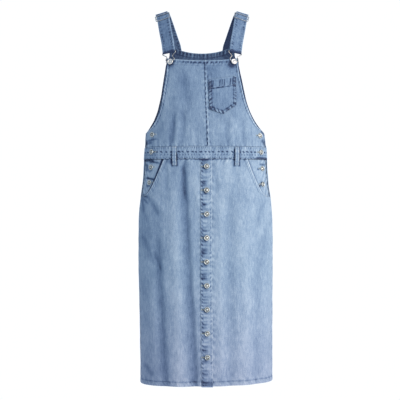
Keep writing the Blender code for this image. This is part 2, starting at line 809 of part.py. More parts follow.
def make_front_buttons(band):
    cloth_out = LAYER + BAND_CLOTH
    mesh = button_mesh("front_button", CAP_RADIUS, cloth_out + BUTTON_GAP, BUTTON_GAP)
    holes = []
    for number in range(FRONT_BUTTONS):
        z = FRONT_BUTTON_TOP - number * FRONT_BUTTON_PITCH
        frame = cloth_frame(z, FRONT_BUTTON_X)
        add_button(f"front_button_{number + 1}", mesh, frame)
        holes.append((frame, -1))
    cut_buttonholes(band, holes)


def make_side_buttons(hosts):
    """hosts gives the front pieces of each side by name, which get the buttonholes."""
    holes = {}
    for side in (-1, 1):
        for number, button in enumerate(SIDE_BUTTONS, start=1):
            spot = button.right if side > 0 else button.left
            frame = cloth_frame(spot.z, side * front_along(spot.z, spot.x))
            name = f"side_button_{side_name(side)}_{number}"
            under, foot = button.cloth_out + BUTTON_GAP, button.stand_out + BUTTON_GAP
            add_button(name, button_mesh(name, CAP_RADIUS, under, foot), frame)
            host = hosts[button.host, side]
            holes.setdefault(host.name, (host, []))[1].append((frame, -side))
    for host, frames in holes.values():
        cut_buttonholes(host, frames)


# Buckles, straps and sliders


def buckle_frame():
    """Frame of the right buckle: origin at the bib button's middle, on the wire's plane, X across
    to the outside, Y up towards the strap and Z out of the bib."""
    along = front_along(BIB_BUTTON_Z, BIB_BUTTON_X - centre_at(BIB_BUTTON_Z))
    place, normal = surface(BIB_BUTTON_Z, along)
    origin = cloth_point(BIB_BUTTON_Z, along, BUCKLE_OUT)
    up = (Vector(SHOULDER_WAY[-1]) - origin).normalized()
    normal = (normal - up * normal.dot(up)).normalized()
    across = up.cross(normal).normalized()
    return axes_matrix(across, up, normal, origin)


def make_buckle(side, frame):
    """Bent wire: a bar for the strap, shoulders that draw in, and an eye round the button."""
    right = [Vector((bend.across, BAR_UP - bend.down, 0.0)) for bend in BUCKLE_BENDS]
    foot = Vector((0.0, BAR_UP - BUCKLE_FOOT, 0.0))
    left = [Vector((-point.x, point.y, 0.0)) for point in reversed(right)]
    points = [frame @ point for point in [*right, foot, *left]]
    data = bpy.data.curves.new("buckle_" + side_name(side), "CURVE")
    data.dimensions = "3D"
    data.bevel_depth = WIRE_RADIUS
    data.bevel_resolution = 2
    spline = data.splines.new("POLY")
    spline.points.add(len(points) - 1)
    spline.use_cyclic_u = True
    for spot, point in zip(spline.points, points):
        spot.co = (side * point.x, point.y, point.z, 1.0)
    add_object("buckle_" + side_name(side), data, NICKEL, 0.3, 1.0)


def make_bib_button(side, frame):
    """The bib button's cap lies over the wire, and its shank stands on the bib."""
    cap_under = WIRE_RADIUS + BUTTON_GAP
    shank_foot = BUTTON_GAP - BUCKLE_OUT
    name = "bib_button_" + side_name(side)
    mesh = button_mesh(name, BIB_CAP_RADIUS, cap_under, shank_foot)
    place = frame.copy()
    if side < 0:
        mirror = Matrix.Diagonal((-1, 1, 1, 1))
        place = mirror @ frame @ mirror
    add_button(name, mesh, place)


def smooth_way(points, steps):
    """Points of a smooth curve through all the given ones, steps to each span."""
    way = []
    for i in range(len(points) - 1):
        before = points[max(i - 1, 0)]
        start, end = points[i], points[i + 1]
        after = points[min(i + 2, len(points) - 1)]
        leave, arrive = (end - before) / 2, (after - start) / 2
        way.extend(glide(start, end, leave, arrive, step / steps) for step in range(steps))
    return [*way, points[-1].copy()]


Station = namedtuple("Station", "place across normal down")


def strap_stations(frame):
    """Places of the right strap's main run, from its sewn end behind, over the shoulder, to the bar,
    where it lies square to the buckle."""
    buckle_up, buckle_normal = frame.col[1].xyz, frame.col[2].xyz
    sewn_out = STRAP_BACK_GAP + STRAP_CLOTH / 2
    back_points = []
    for z in (BACK_TOP_SIDE - STRAP_SEWN, BACK_TOP_SIDE - STRAP_SEWN / 2, BACK_TOP_SIDE):
        along = from_back(z, back_reach(z, STRAP_BACK_X - (BACK_TOP_SIDE - z) * STRAP_BACK_LEAN))
        back_points.append(cloth_point(z, along, sewn_out))
    bar = frame @ Vector((0.0, BAR_UP, TURN_RADIUS))
    points = [*back_points, *(Vector(way) for way in SHOULDER_WAY), bar]
    way = smooth_way(points, WAY_STEPS)
    stations = []
    for i, place in enumerate(way):
        down = (way[min(i + 1, len(way) - 1)] - way[max(i - 1, 0)]).normalized()
        flat = Vector((0.0, down.z, -down.y)).normalized()
        level = flat.cross(down).normalized()
        normal = (flat * math.cos(STRAP_SLOPE) + level * math.sin(STRAP_SLOPE)).normalized()
        squared = smooth_step(1 - (bar - place).length / STRAP_SQUARING)
        down = down.lerp(-buckle_up, squared).normalized()
        normal = normal.lerp(buckle_normal, squared)
        normal = (normal - down * normal.dot(down)).normalized()
        stations.append(Station(place, normal.cross(down).normalized(), normal, down))
    return stations


def run_lengths(stations):
    """Distance of each station from the bar, up the strap."""
    lengths = [0.0]
    for upper, lower in zip(reversed(stations[:-1]), reversed(stations[1:])):
        lengths.append(lengths[-1] + (upper.place - lower.place).length)
    return list(reversed(lengths))


def tail_gap(share):
    """Distance between the middles of the strap and its tail, from the bar (0) to the slider (1)."""
    near = min(share, TAIL_CLOSED - share) / TAIL_CLOSING
    return lerp(2 * TURN_RADIUS, TAIL_NEAR, smooth_step(near))


def make_strap(side, stations, lengths, slider_top):
    """Strap with its tail: down to the buckle's bar, round it, and up again behind itself."""
    rows = [(s.place, s.across, s.normal) for s in stations]
    last = stations[-1]
    bar = last.place - last.normal * TURN_RADIUS
    for step in range(1, STRAP_TURN_STEPS):
        turn = step / STRAP_TURN_STEPS * math.pi
        ray = last.normal * math.cos(turn) + last.down * math.sin(turn)
        rows.append((bar + ray * TURN_RADIUS, last.across, ray))
    for station, length in zip(reversed(stations), reversed(lengths)):
        if length > slider_top:
            break
        back = tail_gap(length / slider_top)
        rows.append((station.place - station.normal * back, station.across, -station.normal))
    row_of = dict(zip(evenly(len(rows) - 1), rows))

    def bend(u, v, is_outer):
        place, across, normal = row_of[v]
        thickness = STRAP_CLOTH / 2 if is_outer else -STRAP_CLOTH / 2
        point = place + across * ((u - 0.5) * STRAP_WIDTH) + normal * thickness
        return Vector((side * point.x, point.y, point.z))

    name = "strap_" + side_name(side)
    add_object(name, bent_slab(name, evenly(STRAP_COLUMNS), list(row_of), bend), DENIM)


def station_at(stations, lengths, length):
    """Station between two others, at a distance from the bar."""
    low = next(i for i in range(len(lengths) - 1) if lengths[i + 1] <= length)
    share = (lengths[low] - length) / (lengths[low] - lengths[low + 1])
    upper, lower = stations[low], stations[low + 1]
    return Station(*(lerp(a, b, share) for a, b in zip(upper, lower)))


def make_slider(side, stations, lengths, top):
    """Flat frame with a middle rail, bent as the strap is, between the strap and its tail."""
    thickness = 2 * (TURN_RADIUS - STRAP_CLOTH / 2 - SLIDER_CLOTH_GAP)
    rail_top = (SLIDER_HEIGHT - SLIDER_RAIL) / 2
    low_rail_top = SLIDER_HEIGHT - SLIDER_RAIL
    downs = (0.0, SLIDER_RAIL, rail_top, rail_top + SLIDER_RAIL, low_rail_top, SLIDER_HEIGHT)
    inner = SLIDER_HALF_WIDTH - SLIDER_RAIL
    acrosses = (-SLIDER_HALF_WIDTH, -inner, 0.0, inner, SLIDER_HALF_WIDTH)
    columns, rows = shares(acrosses), shares(downs)
    across_of, down_of = dict(zip(columns, acrosses)), dict(zip(rows, downs))

    def bend(u, v, is_outer):
        station = station_at(stations, lengths, top - down_of[v])
        level = -TURN_RADIUS + (thickness / 2 if is_outer else -thickness / 2)
        point = station.place + station.across * across_of[u] + station.normal * level
        return Vector((side * point.x, point.y, point.z))

    windows = {(column, row) for column in (1, 2) for row in (1, 3)}
    name = "strap_slider_" + side_name(side)
    add_object(name, bent_slab(name, columns, rows, bend, windows), NICKEL, 0.35, 1.0)


def make_shoulder_parts():
    frame = buckle_frame()
    stations = strap_stations(frame)
    lengths = run_lengths(stations)
    crest = max(range(len(stations)), key=lambda i: stations[i].place.z)
    slider_top = lengths[crest] - SLIDER_DOWN
    for side in (-1, 1):
        make_strap(side, stations, lengths, slider_top + STRAP_CLOTH)
        make_slider(side, stations, lengths, slider_top)
        make_buckle(side, frame)
        make_bib_button(side, frame)


def main():
    for old in list(bpy.data.objects):
        bpy.data.objects.remove(old, do_unlink=True)
    hosts = {}
    make_back_bib()
    make_skirt_back()
    for side in (-1, 1):
        hosts["bib_front", side] = make_front_bib(side)
        make_skirt_front(side)
        hosts["pocket_back", side] = make_pocket_back(side)
        make_side_stand(side)
    waistband = make_waistbands()
    hosts["waistband_front", -1] = waistband
    hosts["waistband_front", 1] = waistband
    make_chest_pocket()
    make_belt_loops()
    make_front_buttons(make_front_closing())
    make_side_buttons(hosts)
    make_shoulder_parts()


main()
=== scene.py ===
import math

import bmesh
import bpy
import numpy as np
from mathutils import Matrix, Vector


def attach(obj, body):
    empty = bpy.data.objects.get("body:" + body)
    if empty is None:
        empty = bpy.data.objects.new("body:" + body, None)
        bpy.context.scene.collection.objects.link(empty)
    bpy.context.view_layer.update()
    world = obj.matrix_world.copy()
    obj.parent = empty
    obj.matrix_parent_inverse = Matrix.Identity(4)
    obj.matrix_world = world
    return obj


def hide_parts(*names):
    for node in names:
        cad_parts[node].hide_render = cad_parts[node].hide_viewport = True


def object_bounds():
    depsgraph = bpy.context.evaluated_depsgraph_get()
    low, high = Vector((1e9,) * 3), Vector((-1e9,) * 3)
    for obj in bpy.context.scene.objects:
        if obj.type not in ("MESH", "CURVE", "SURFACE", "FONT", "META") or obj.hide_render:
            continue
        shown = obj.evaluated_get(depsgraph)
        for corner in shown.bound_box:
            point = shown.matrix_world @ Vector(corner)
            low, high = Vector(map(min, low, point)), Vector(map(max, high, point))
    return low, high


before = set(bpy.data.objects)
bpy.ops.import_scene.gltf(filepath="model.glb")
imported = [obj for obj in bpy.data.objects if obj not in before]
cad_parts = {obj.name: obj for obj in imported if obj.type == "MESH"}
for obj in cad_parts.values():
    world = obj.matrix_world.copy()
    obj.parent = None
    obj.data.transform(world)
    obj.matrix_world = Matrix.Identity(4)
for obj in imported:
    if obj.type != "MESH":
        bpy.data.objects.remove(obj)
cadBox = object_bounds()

# Looks of a washed denim overall dress. Metres, +Z up, the front faces -Y, as in the frame.
# "along" is the distance round the dress from the centre front, positive to the right, and
# "out" is the distance outwards from the outer face of the main cloth.

scene = bpy.context.scene
seam = 0.0003  # gap between pieces sewn edge to edge
layer = 0.0005  # gap under a piece that lies on another
underLayer = 0.0012  # gap above a piece that lies under a strongly curved panel
cloth = 0.0015  # one layer of denim
print("frame loaded:", len(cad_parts), "nodes")


def lerp(start, end, share):
    return start + (end - start) * share


def smoothStep(share):
    share = np.clip(share, 0.0, 1.0)
    return share * share * (3.0 - 2.0 * share)


def hump(away, spread):
    return np.exp(-((away / spread) ** 2))


def glide(start, end, leave, arrive, t):
    # goes smoothly from start to end with the given grades where it leaves and arrives
    return (
        start * (1 + 2 * t) * (1 - t) ** 2
        + leave * t * (1 - t) ** 2
        + end * t * t * (3 - 2 * t)
        + arrive * t * t * (t - 1)
    )


def smoothCurve(pairs):
    # smooth curve through pairs of a place and a value, which never passes beyond them
    places, values = (np.array(column, float) for column in zip(*sorted(pairs)))
    steps = np.diff(places)
    grades = np.diff(values) / steps
    before, after = grades[:-1], grades[1:]
    turning = before * after <= 0
    inner = 2 * before * after / np.where(turning, 1.0, before + after)
    slopes = np.concatenate([grades[:1], np.where(turning, 0.0, inner), grades[-1:]])

    def at(place):
        place = np.clip(np.asarray(place, float), places[0], places[-1])
        low = np.clip(np.searchsorted(places, place, side="right") - 1, 0, len(steps) - 1)
        share = (place - places[low]) / steps[low]
        leave, arrive = slopes[low] * steps[low], slopes[low + 1] * steps[low]
        return glide(values[low], values[low + 1], leave, arrive, share)

    return at


def roughWave(run, spacing, seed):
    # uneven ridges and troughs by turns, from -1 to 1, with a change of sign every spacing or so
    random = np.random.default_rng(seed)
    count = int(4.0 / spacing) + 8
    knots = np.cumsum(random.uniform(0.55, 1.45, count)) * spacing - 2.0
    heights = np.where(np.arange(count) % 2, 1.0, -1.0) * random.uniform(0.3, 1.0, count)
    low = np.clip(np.searchsorted(knots, run) - 1, 0, count - 2)
    share = (run - knots[low]) / (knots[low + 1] - knots[low])
    return lerp(heights[low], heights[low + 1], smoothStep(share))


def ripples(a, b, size, seed, count=14):
    # soft uneven dents of about that size, mostly from -1 to 1
    random = np.random.default_rng(seed)
    total = np.zeros(np.broadcast(a, b).shape)
    for turn, length, start in random.uniform((0, 0.6, 0), (1, 1.6, 1), (count, 3)):
        angle = turn * math.tau
        reach = (a * math.cos(angle) + b * math.sin(angle)) / (size * length)
        total += np.sin((reach + start) * math.tau)
    return total / math.sqrt(count)


# The dress's form: its outline at each height, as the CAD solids have it
form = {
    "sections": (  # height, half width, front depth, back depth, swing of the middle to the right
        (-0.100, 0.160, 0.088, 0.088, 0.0000),
        (-0.150, 0.168, 0.100, 0.094, 0.0010),
        (-0.220, 0.172, 0.115, 0.099, 0.0030),
        (-0.290, 0.178, 0.121, 0.096, 0.0050),
        (-0.360, 0.185, 0.112, 0.088, 0.0088),
        (-0.440, 0.192, 0.105, 0.083, 0.0110),
        (-0.520, 0.197, 0.114, 0.103, 0.0110),
        (-0.585, 0.205, 0.120, 0.117, 0.0110),
        (-0.650, 0.210, 0.123, 0.122, 0.0110),
        (-0.750, 0.211, 0.125, 0.120, 0.0110),
        (-0.950, 0.2085, 0.125, 0.116, 0.0125),
        (-1.165, 0.2070, 0.125, 0.112, 0.0140),
    ),
    "frontSquareness": 2.4,  # 2 is an ellipse
    "backSquareness": 2.3,
    "sideSeamForward": 0.0280,  # side seams lie this far in front of the widest point
    "quarterSteps": 160,
    "roundSteps": 700,
    "heightStep": 0.0025,
    "lowest": -1.1900,
    "highest": -0.0800,
    "unevenness": 0.00035,  # soft dents all over the cloth
}
halfWidthAt, frontDepthAt, backDepthAt, centreAt = (
    smoothCurve([(row[0], row[column]) for row in form["sections"]]) for column in (1, 2, 3, 4)
)


def outlineTables():
    # where the right half of the outline runs at every height, at even shares of its length
    steps = form["quarterSteps"]
    turn = np.linspace(-1, 1, 2 * steps + 1) * math.pi / 2
    power = 2 / np.where(turn < 0, form["frontSquareness"], form["backSquareness"])
    heights = np.arange(form["lowest"], form["highest"], form["heightStep"])
    half, front, back = (curve(heights)[:, None] for curve in (halfWidthAt, frontDepthAt, backDepthAt))
    x = half * np.abs(np.cos(turn)) ** power
    y = np.where(turn < 0, -front, back) * np.abs(np.sin(turn)) ** power
    spans = np.hypot(np.diff(x), np.diff(y))
    lengths = np.hstack([np.zeros((len(heights), 1)), np.cumsum(spans, axis=1)])
    shares = np.linspace(0, 1, form["roundSteps"] + 1)
    evenX, evenY = np.zeros((2, len(heights), len(shares)))
    for row, length in enumerate(lengths):
        evenX[row] = np.interp(shares * length[-1], length, x[row])
        evenY[row] = np.interp(shares * length[-1], length, y[row])
    return heights, x, lengths, evenX, evenY


tableHeights, turnX, turnLengths, roundX, roundY = outlineTables()


def girth(z):
    # half of the way round, from centre front to centre back
    return np.interp(z, tableHeights, turnLengths[:, -1])


def sideAlong(z):
    widest = np.interp(z, tableHeights, turnLengths[:, form["quarterSteps"]])
    return widest - form["sideSeamForward"]


def frontWay(halfWidthOf):
    # distance along, as a function of height, at which the front is that wide
    quarter = form["quarterSteps"] + 1
    found = [
        np.interp(halfWidthOf(z), x[:quarter], lengths[:quarter])
        for z, x, lengths in zip(tableHeights, turnX, turnLengths)
    ]
    return lambda z: np.interp(z, tableHeights, found)


def backWay(halfWidthOf):
    # the same for the back, as a reach from the centre back
    quarter = form["quarterSteps"]
    found = [
        np.interp(halfWidthOf(z), x[quarter:][::-1], (lengths[-1] - lengths[quarter:])[::-1])
        for z, x, lengths in zip(tableHeights, turnX, turnLengths)
    ]
    return lambda z: np.interp(z, tableHeights, found)


def fromBack(z, reach):
    return np.copysign(girth(z) - np.abs(reach), reach)


def fromCentreBack(z, along):
    # the reverse: how far a place on the back is from its centre, positive to the right
    return np.copysign(girth(z) - np.abs(along), along)


# Folds and creases. A positive height is a ridge, a negative one a trough, and the last column is how much
# lighter the cloth is painted there: painted light on the ridges and painted shade in the troughs.
folds = {  # face is -1 in front and 1 behind; lengths in mm, heights in tenths of a mm, painted light and shade in hundredths
    "main": (  # face, x and z at the top, x and z at the foot, spread left and right, height, painted light and shade
        (-1, -72, -400, -33, -1160, 20, 9, -52, -24),
        (-1, -100, -500, -79, -1160, 21, 21, 35, 10),
        (-1, -154, -600, -127, -1160, 16, 12, -50, -20),
        (-1, 44, -520, 45, -1160, 16, 16, 22, 5),
        (-1, 75, -490, 73, -1160, 18, 16, -30, -7),
        (-1, 110, -540, 119, -1160, 20, 20, 28, 5),
        (-1, 162, -610, 158, -1160, 14, 14, -32, -6),
        (1, -128, -560, -141, -1160, 17, 14, -42, -12),
        (1, -82, -600, -90, -1160, 22, 22, 30, 6),
        (1, -30, -520, -44, -1160, 20, 14, -48, -12),
        (1, 26, -640, 18, -1160, 22, 22, 26, 5),
        (1, 80, -540, 66, -1160, 17, 15, -40, -10),
        (1, 146, -580, 131, -1160, 16, 14, -36, -8),
    ),
    "grow": 0.18,  # length over which a main fold grows below its top, in metres
    "creases": (  # face, x and z at one end, x and z at the other, bow, spreads, height, painted light and shade
        (-1, -90, -300, -104, -430, 0, 10, 6, -24, -22),
        (-1, -60, -290, -72, -430, 0, 12, 7, -20, -17),
        (-1, -72, -452, -62, -600, 0, 9, 6, -22, -16),
        (-1, -83, -330, -88, -425, 0, 8, 10, 12, 8),
        (-1, -70, -180, -44, -330, 4, 16, 12, -16, -12),
        (-1, 70, -330, 64, -430, 0, 12, 9, -14, -8),
        (-1, 118, -320, 112, -425, 3, 12, 9, -14, -8),
        (-1, 140, -250, 128, -400, 4, 12, 14, 12, 5),
        (-1, -130, -260, -140, -400, -3, 12, 10, -14, -8),
        (-1, -188, -565, -143, -640, 4, 8, 6, -20, -17),
        (-1, -176, -556, -120, -640, 6, 8, 8, 16, 8),
        (-1, -201, -680, -165, -790, 4, 9, 7, -20, -16),
        (-1, -167, -737, -136, -814, 3, 6, 6, -16, -14),
        (-1, -197, -1085, -166, -1136, 3, 8, 8, -16, -20),
        (-1, -188, -404, -146, -396, 1, 3, 3, -10, -34),
        (-1, -193, -414, -162, -407, 1, 4, 6, -12, -38),
        (-1, -198, -463, -156, -463, 1, 5, 4, -10, -62),
        (-1, -180, -469, -138, -474, 3, 3, 3, -10, -52),
        (-1, -187, -468, -183, -500, 0, 5, 5, -8, -46),
        (-1, -178, -499, -166, -490, 0, 4, 3, -6, -38),
        (-1, -194, -516, -152, -526, 2, 3, 3, -10, -66),
        (-1, -188, -541, -172, -542, 0, 3, 3, -6, -46),
        (-1, -113, -460, -103, -476, 0, 6, 6, -6, -34),
        (-1, -204, -568, -176, -578, 1, 4, 3, -12, -42),
        (-1, -203, -574, -176, -600, 1, 3, 4, -12, -26),
        (-1, -201, -574, -193, -630, 2, 4, 5, -12, -24),
        (-1, 170, -370, 192, -385, 1, 4, 4, -6, -42),
        (-1, 172, -396, 192, -418, 1, 6, 6, -14, -36),
        (-1, 148, -458, 198, -458, 1, 2, 4, -6, -72),
        (-1, 166, -475, 190, -477, 1, 3, 3, -6, -42),
        (-1, 158, -492, 177, -487, 1, 3, 3, -6, -48),
        (-1, 166, -548, 180, -526, 1, 4, 3, -6, -48),
        (-1, -192, -610, -170, -720, 2, 10, 8, -16, -10),
        (-1, -165, -800, -160, -1070, 2, 12, 12, 18, 6),
        (-1, -34, -470, -22, -620, 0, 10, 8, 14, 8),
        (-1, -120, -480, -116, -600, 0, 10, 8, -14, -7),
        (-1, 30, -470, 34, -590, 0, 8, 6, -12, -6),
        (-1, 96, -470, 100, -600, 0, 9, 7, -12, -6),
        (-1, 190, -580, 150, -690, -5, 10, 8, -18, -10),
        (-1, 196, -640, 172, -820, -4, 10, 10, -18, -8),
        (-1, 98, -700, 106, -1000, 4, 10, 12, -12, -5),
        (1, -120, -200, -88, -360, 4, 14, 10, -16, -9),
        (1, 124, -190, 94, -360, -4, 12, 14, -16, -9),
        (1, -50, -150, -32, -300, 4, 14, 12, 12, 5),
        (1, 46, -160, 40, -330, 3, 14, 12, -12, -6),
        (1, -104, -470, -112, -620, 0, 11, 8, -16, -8),
        (1, -56, -470, -60, -600, 0, 10, 8, 14, 6),
        (1, 6, -470, 0, -620, 0, 10, 8, -14, -7),
        (1, 52, -470, 56, -600, 0, 10, 8, 13, 6),
        (1, 112, -470, 118, -610, 0, 10, 8, -15, -8),
        (1, -180, -600, -130, -700, 5, 10, 8, -18, -8),
        (1, 184, -620, 136, -730, -5, 10, 8, -18, -8),
        (1, 100, -720, 108, -1020, 4, 12, 12, 14, 5),
    ),
    "creaseFade": 0.28,  # share of a crease over which each of its ends fades
}


def inMetres(rows):
    units = [1] + [1000] * (len(rows[0]) - 3) + [10000, 100]
    return np.array(rows) / np.array(units)


def foldRelief(x, y, z):
    # height of the folds and the light and shade painted on them, at places of the plain outline
    height, wash = np.zeros((2, len(x)))
    for face, topX, topZ, lowX, lowZ, left, right, rise, fadeAndShade in inMetres(folds["main"]):
        down = (topZ - z) / (topZ - lowZ)
        away = x - lerp(topX, lowX, down)
        growth = smoothStep((topZ - z) / folds["grow"])
        shape = np.where((down > 0) & (y * face > 0), growth * hump(away, np.where(away < 0, left, right)), 0)
        height += rise * shape
        wash += fadeAndShade * shape
    fade = folds["creaseFade"]
    for face, startX, startZ, endX, endZ, bow, left, right, rise, fadeAndShade in inMetres(folds["creases"]):
        overX, overZ = endX - startX, endZ - startZ
        length = math.hypot(overX, overZ)
        share = ((x - startX) * overX + (z - startZ) * overZ) / length**2
        away = ((z - startZ) * overX - (x - startX) * overZ) / length - bow * 4 * share * (1 - share)
        ends = smoothStep(share / fade) * smoothStep((1 - share) / fade)
        shape = np.where(y * face > 0, ends * hump(away, np.where(away < 0, left, right)), 0)
        height += rise * shape
        wash += fadeAndShade * shape
    return height, wash


def tableRow(z):
    return np.clip((z - form["lowest"]) / form["heightStep"], 0, len(tableHeights) - 1.001)


def readTable(table, row, column):
    # value between a table's rows and columns
    r, c = row.astype(int), column.astype(int)
    low = lerp(table[r, c], table[r, c + 1], column - c)
    high = lerp(table[r + 1, c], table[r + 1, c + 1], column - c)
    return lerp(low, high, row - r)


def outlinePoints(z, along):
    # places on the plain outline and the directions out of it
    column = np.clip(np.abs(along) / girth(z), 0, 1) * (form["roundSteps"] - 0.001)
    x, y = (readTable(table, tableRow(z), column) for table in (roundX, roundY))
    front = y < 0
    depth = np.where(front, frontDepthAt(z), backDepthAt(z))
    power = np.where(front, form["frontSquareness"], form["backSquareness"]) - 1
    half = halfWidthAt(z)
    outX = (x / half) ** power / half
    outY = np.copysign((np.abs(y) / depth) ** power / depth, y)
    normals = np.stack([outX, outY, np.zeros(len(z))], axis=1)
    normals /= np.linalg.norm(normals, axis=1, keepdims=True)
    side = np.where(along < 0, -1.0, 1.0)
    normals[:, 0] *= side
    return np.stack([x * side, y, z], axis=1), normals


def clothPoints(z, along, out=0.0):
    # places, directions out of the cloth, and how faded it is with the folds' painted light and shade
    z, along, out = (part.ravel() for part in np.broadcast_arrays(z, along, np.asarray(out, float)))
    points, normals = outlinePoints(z.astype(float), along.astype(float))
    height, wash = foldRelief(*points.T)
    height += form["unevenness"] * ripples(points[:, 0] * 1.3, z * 0.6, 0.045, 5)
    points = points + normals * (out + height)[:, None]
    points[:, 0] += centreAt(points[:, 2])
    return points, normals, wash


class Relief:
    # height of one piece's cloth over the form, and how much it has faded with painted light and shade added, as
    # seams shape them
    def __init__(self, z, base=0.0):
        self.height = np.zeros(np.shape(z)) + base
        self.wash = np.zeros(np.shape(z))

    def add(self, shape, height, wash):
        self.height = self.height + shape * height
        self.wash = self.wash + shape * wash

    def edge(self, away, width=0.0016, roll=0.0006, wash=0.22):
        # turned edge, which rolls inwards and has faded
        near = np.clip(1 - away / width, 0, 1)
        self.add(near**2, -roll, 0.0)
        self.add(hump(np.maximum(away, 0), width * 1.3), 0.0, wash)

    def band(self, away, width, height=0.0005, wash=0.05):
        # thicker stretch beside an edge, with a groove where it is stitched down
        self.add(1 - smoothStep((away - width) / 0.0016), height, wash)
        self.add(hump(away - width - 0.0020, 0.0016), -height * 0.5, -0.20)

    def armhole(self, run, fromEdge, seed):
        # bound edge: the turned edge is painted dark for the shade on its rolled underside, the stitched line
        # beside it is pale
        self.edge(fromEdge, 0.0020, 0.0006, -0.66)
        self.add(hump(fromEdge - 0.0050, 0.0020), 0.0002, 0.22)
        self.band(fromEdge, bodice["edgeHem"], 0.0004, 0.02)
        self.puckers(run, fromEdge - 0.005, seed, 0.0075, 0.0055, 0.00035, 0.15)
        self.dashes(run, fromEdge - 0.0078, seed + 1, 0.0066, 0.0016, -0.40, 0.6, 0.42)

    def puckers(self, run, away, seed, spacing=0.0085, reach=0.008, height=0.0005, wash=0.22, slant=0.5):
        # short ridges across a seam, which fade away from it
        fade = hump(away, reach)
        self.add(fade * roughWave(run + slant * away, spacing, seed), height, wash)

    def dashes(self, run, away, seed, spacing=0.0060, reach=0.0016, wash=-0.45, slant=0.6, share=0.5):
        # short dark dents along a seam, where the washed cloth has been pinched in
        dents = smoothStep((roughWave(run + slant * away, spacing, seed) + 1 - 2 * (1 - share)) / 0.5)
        self.add(hump(away, reach) * dents, -0.0004, wash)


def steepness(way, z, steepest=np.inf):
    # how much longer than square a level distance to an edge is, where the edge's reach is way(z)
    grade = np.clip((way(z + 0.002) - way(z - 0.002)) / 0.004, -steepest, steepest)
    return np.sqrt(1 + grade**2)


def awayFrom(way, z, reach):
    # square distance to such an edge
    return (way(z) - reach) / steepness(way, z, 0.9)


def gradedShares(length, step, fineStep=0.0007, growth=0.30):
    # shares from 0 to 1 whose steps are fine at both ends and grow to the full step between
    reach, places = 0.0, [0.0]
    while reach < length / 2:
        reach += min(step, fineStep + growth * reach)
        places.append(reach)
    half = np.array(places) / (2 * places[-1])
    return np.concatenate([half, 1 - half[-2::-1]])


def evenShares(length, step):
    return np.linspace(0, 1, max(int(length / step), 1) + 1)


# Materials: one class keeps a material's nodes, one wraps a socket so that maths reads plainly


class Amount:
    def __init__(self, tree, socket):
        self.tree, self.socket = tree, socket

    def combine(self, operation, first, second):
        node = self.tree.nodes.new("ShaderNodeMath")
        node.operation = operation
        for entry, value in zip(node.inputs, (first, second)):
            if isinstance(value, Amount):
                self.tree.links.new(value.socket, entry)
            else:
                entry.default_value = value
        return Amount(self.tree, node.outputs[0])

    def __add__(self, other):
        return self.combine("ADD", self, other)

    __radd__ = __add__

    def __sub__(self, other):
        return self.combine("SUBTRACT", self, other)

    def __rsub__(self, other):
        return self.combine("SUBTRACT", other, self)

    def __mul__(self, other):
        return self.combine("MULTIPLY", self, other)

    __rmul__ = __mul__

    def sine(self):
        return self.combine("SINE", self, 0.0)

    def within(self):
        # kept from 0 to 1
        return self.combine("MINIMUM", self.combine("MAXIMUM", self, 0.0), 1.0)


class Finish:
    def __init__(self, name, roughness=0.5, metallic=0.0, specular=0.5):
        self.material = bpy.data.materials.new(name)
        self.material.use_nodes = True
        self.tree = self.material.node_tree
        self.shader = self.tree.nodes["Principled BSDF"]
        self.shader.inputs["Roughness"].default_value = roughness
        self.shader.inputs["Metallic"].default_value = metallic
        self.shader.inputs["Specular IOR Level"].default_value = specular

    def node(self, kind, settings, sockets, output=0):
        node = self.tree.nodes.new(kind)
        for setting, value in settings.items():
            if setting == "stops":
                self.setStops(node.color_ramp, value)
            else:
                setattr(node, setting, value)
        for name, value in sockets.items():
            self.feed(node.inputs[name], value)
        return Amount(self.tree, node.outputs[output])

    def setStops(self, ramp, stops):
        while len(ramp.elements) < len(stops):
            ramp.elements.new(0.5)
        for element, (place, colour) in zip(ramp.elements, stops):
            element.position = place
            element.color = (*colour, 1.0)

    def feed(self, entry, value):
        if isinstance(value, Amount):
            self.tree.links.new(value.socket, entry)
        else:
            entry.default_value = value

    def set(self, name, value):
        self.feed(self.shader.inputs[name], value)

    def attribute(self, name):
        return self.node("ShaderNodeAttribute", {"attribute_name": name}, {}, "Fac")

    def noise(self, place, stretch, detail=2.0, roughness=0.5, seed=0.0):
        # noise whose grains are stretch metres long along each axis of the place
        scale = tuple(1 / length for length in stretch)
        moved = self.node(
            "ShaderNodeMapping", {}, {"Vector": place, "Scale": scale, "Location": (seed, seed * 1.7, 0)}
        )
        sockets = {"Vector": moved, "Scale": 1.0, "Detail": detail, "Roughness": roughness}
        return self.node("ShaderNodeTexNoise", {"normalize": True}, sockets, "Fac")

    def relief(self, height, distance, strength=1.0):
        sockets = {"Height": height, "Distance": distance, "Strength": strength}
        self.set("Normal", self.node("ShaderNodeBump", {}, sockets))


denim = {
    "outerTones": (  # how washed out, with painted light and shade, colour
        (0.00, (0.014, 0.028, 0.074)),
        (0.25, (0.062, 0.114, 0.216)),
        (0.50, (0.130, 0.207, 0.326)),
        (0.75, (0.240, 0.334, 0.458)),
        (1.00, (0.420, 0.510, 0.600)),
    ),
    "reverseTones": (
        (0.00, (0.060, 0.085, 0.135)),
        (0.50, (0.135, 0.185, 0.270)),
        (1.00, (0.300, 0.360, 0.450)),
    ),
    "slub": 0.26,  # how much the thick and thin warp yarns show
    "broadSlub": 0.22,
    "clouds": 0.30,
    "mottle": 0.20,
    "grain": 0.34,
    "twill": 0.10,
    "twillPitch": 0.0013,
    "yarnRelief": 0.00034,
    "greyTint": (1.0, 0.915, 0.945), "greyFrom": -0.80, "greyTo": -1.12,  # the cloth is greyer towards the hem
}


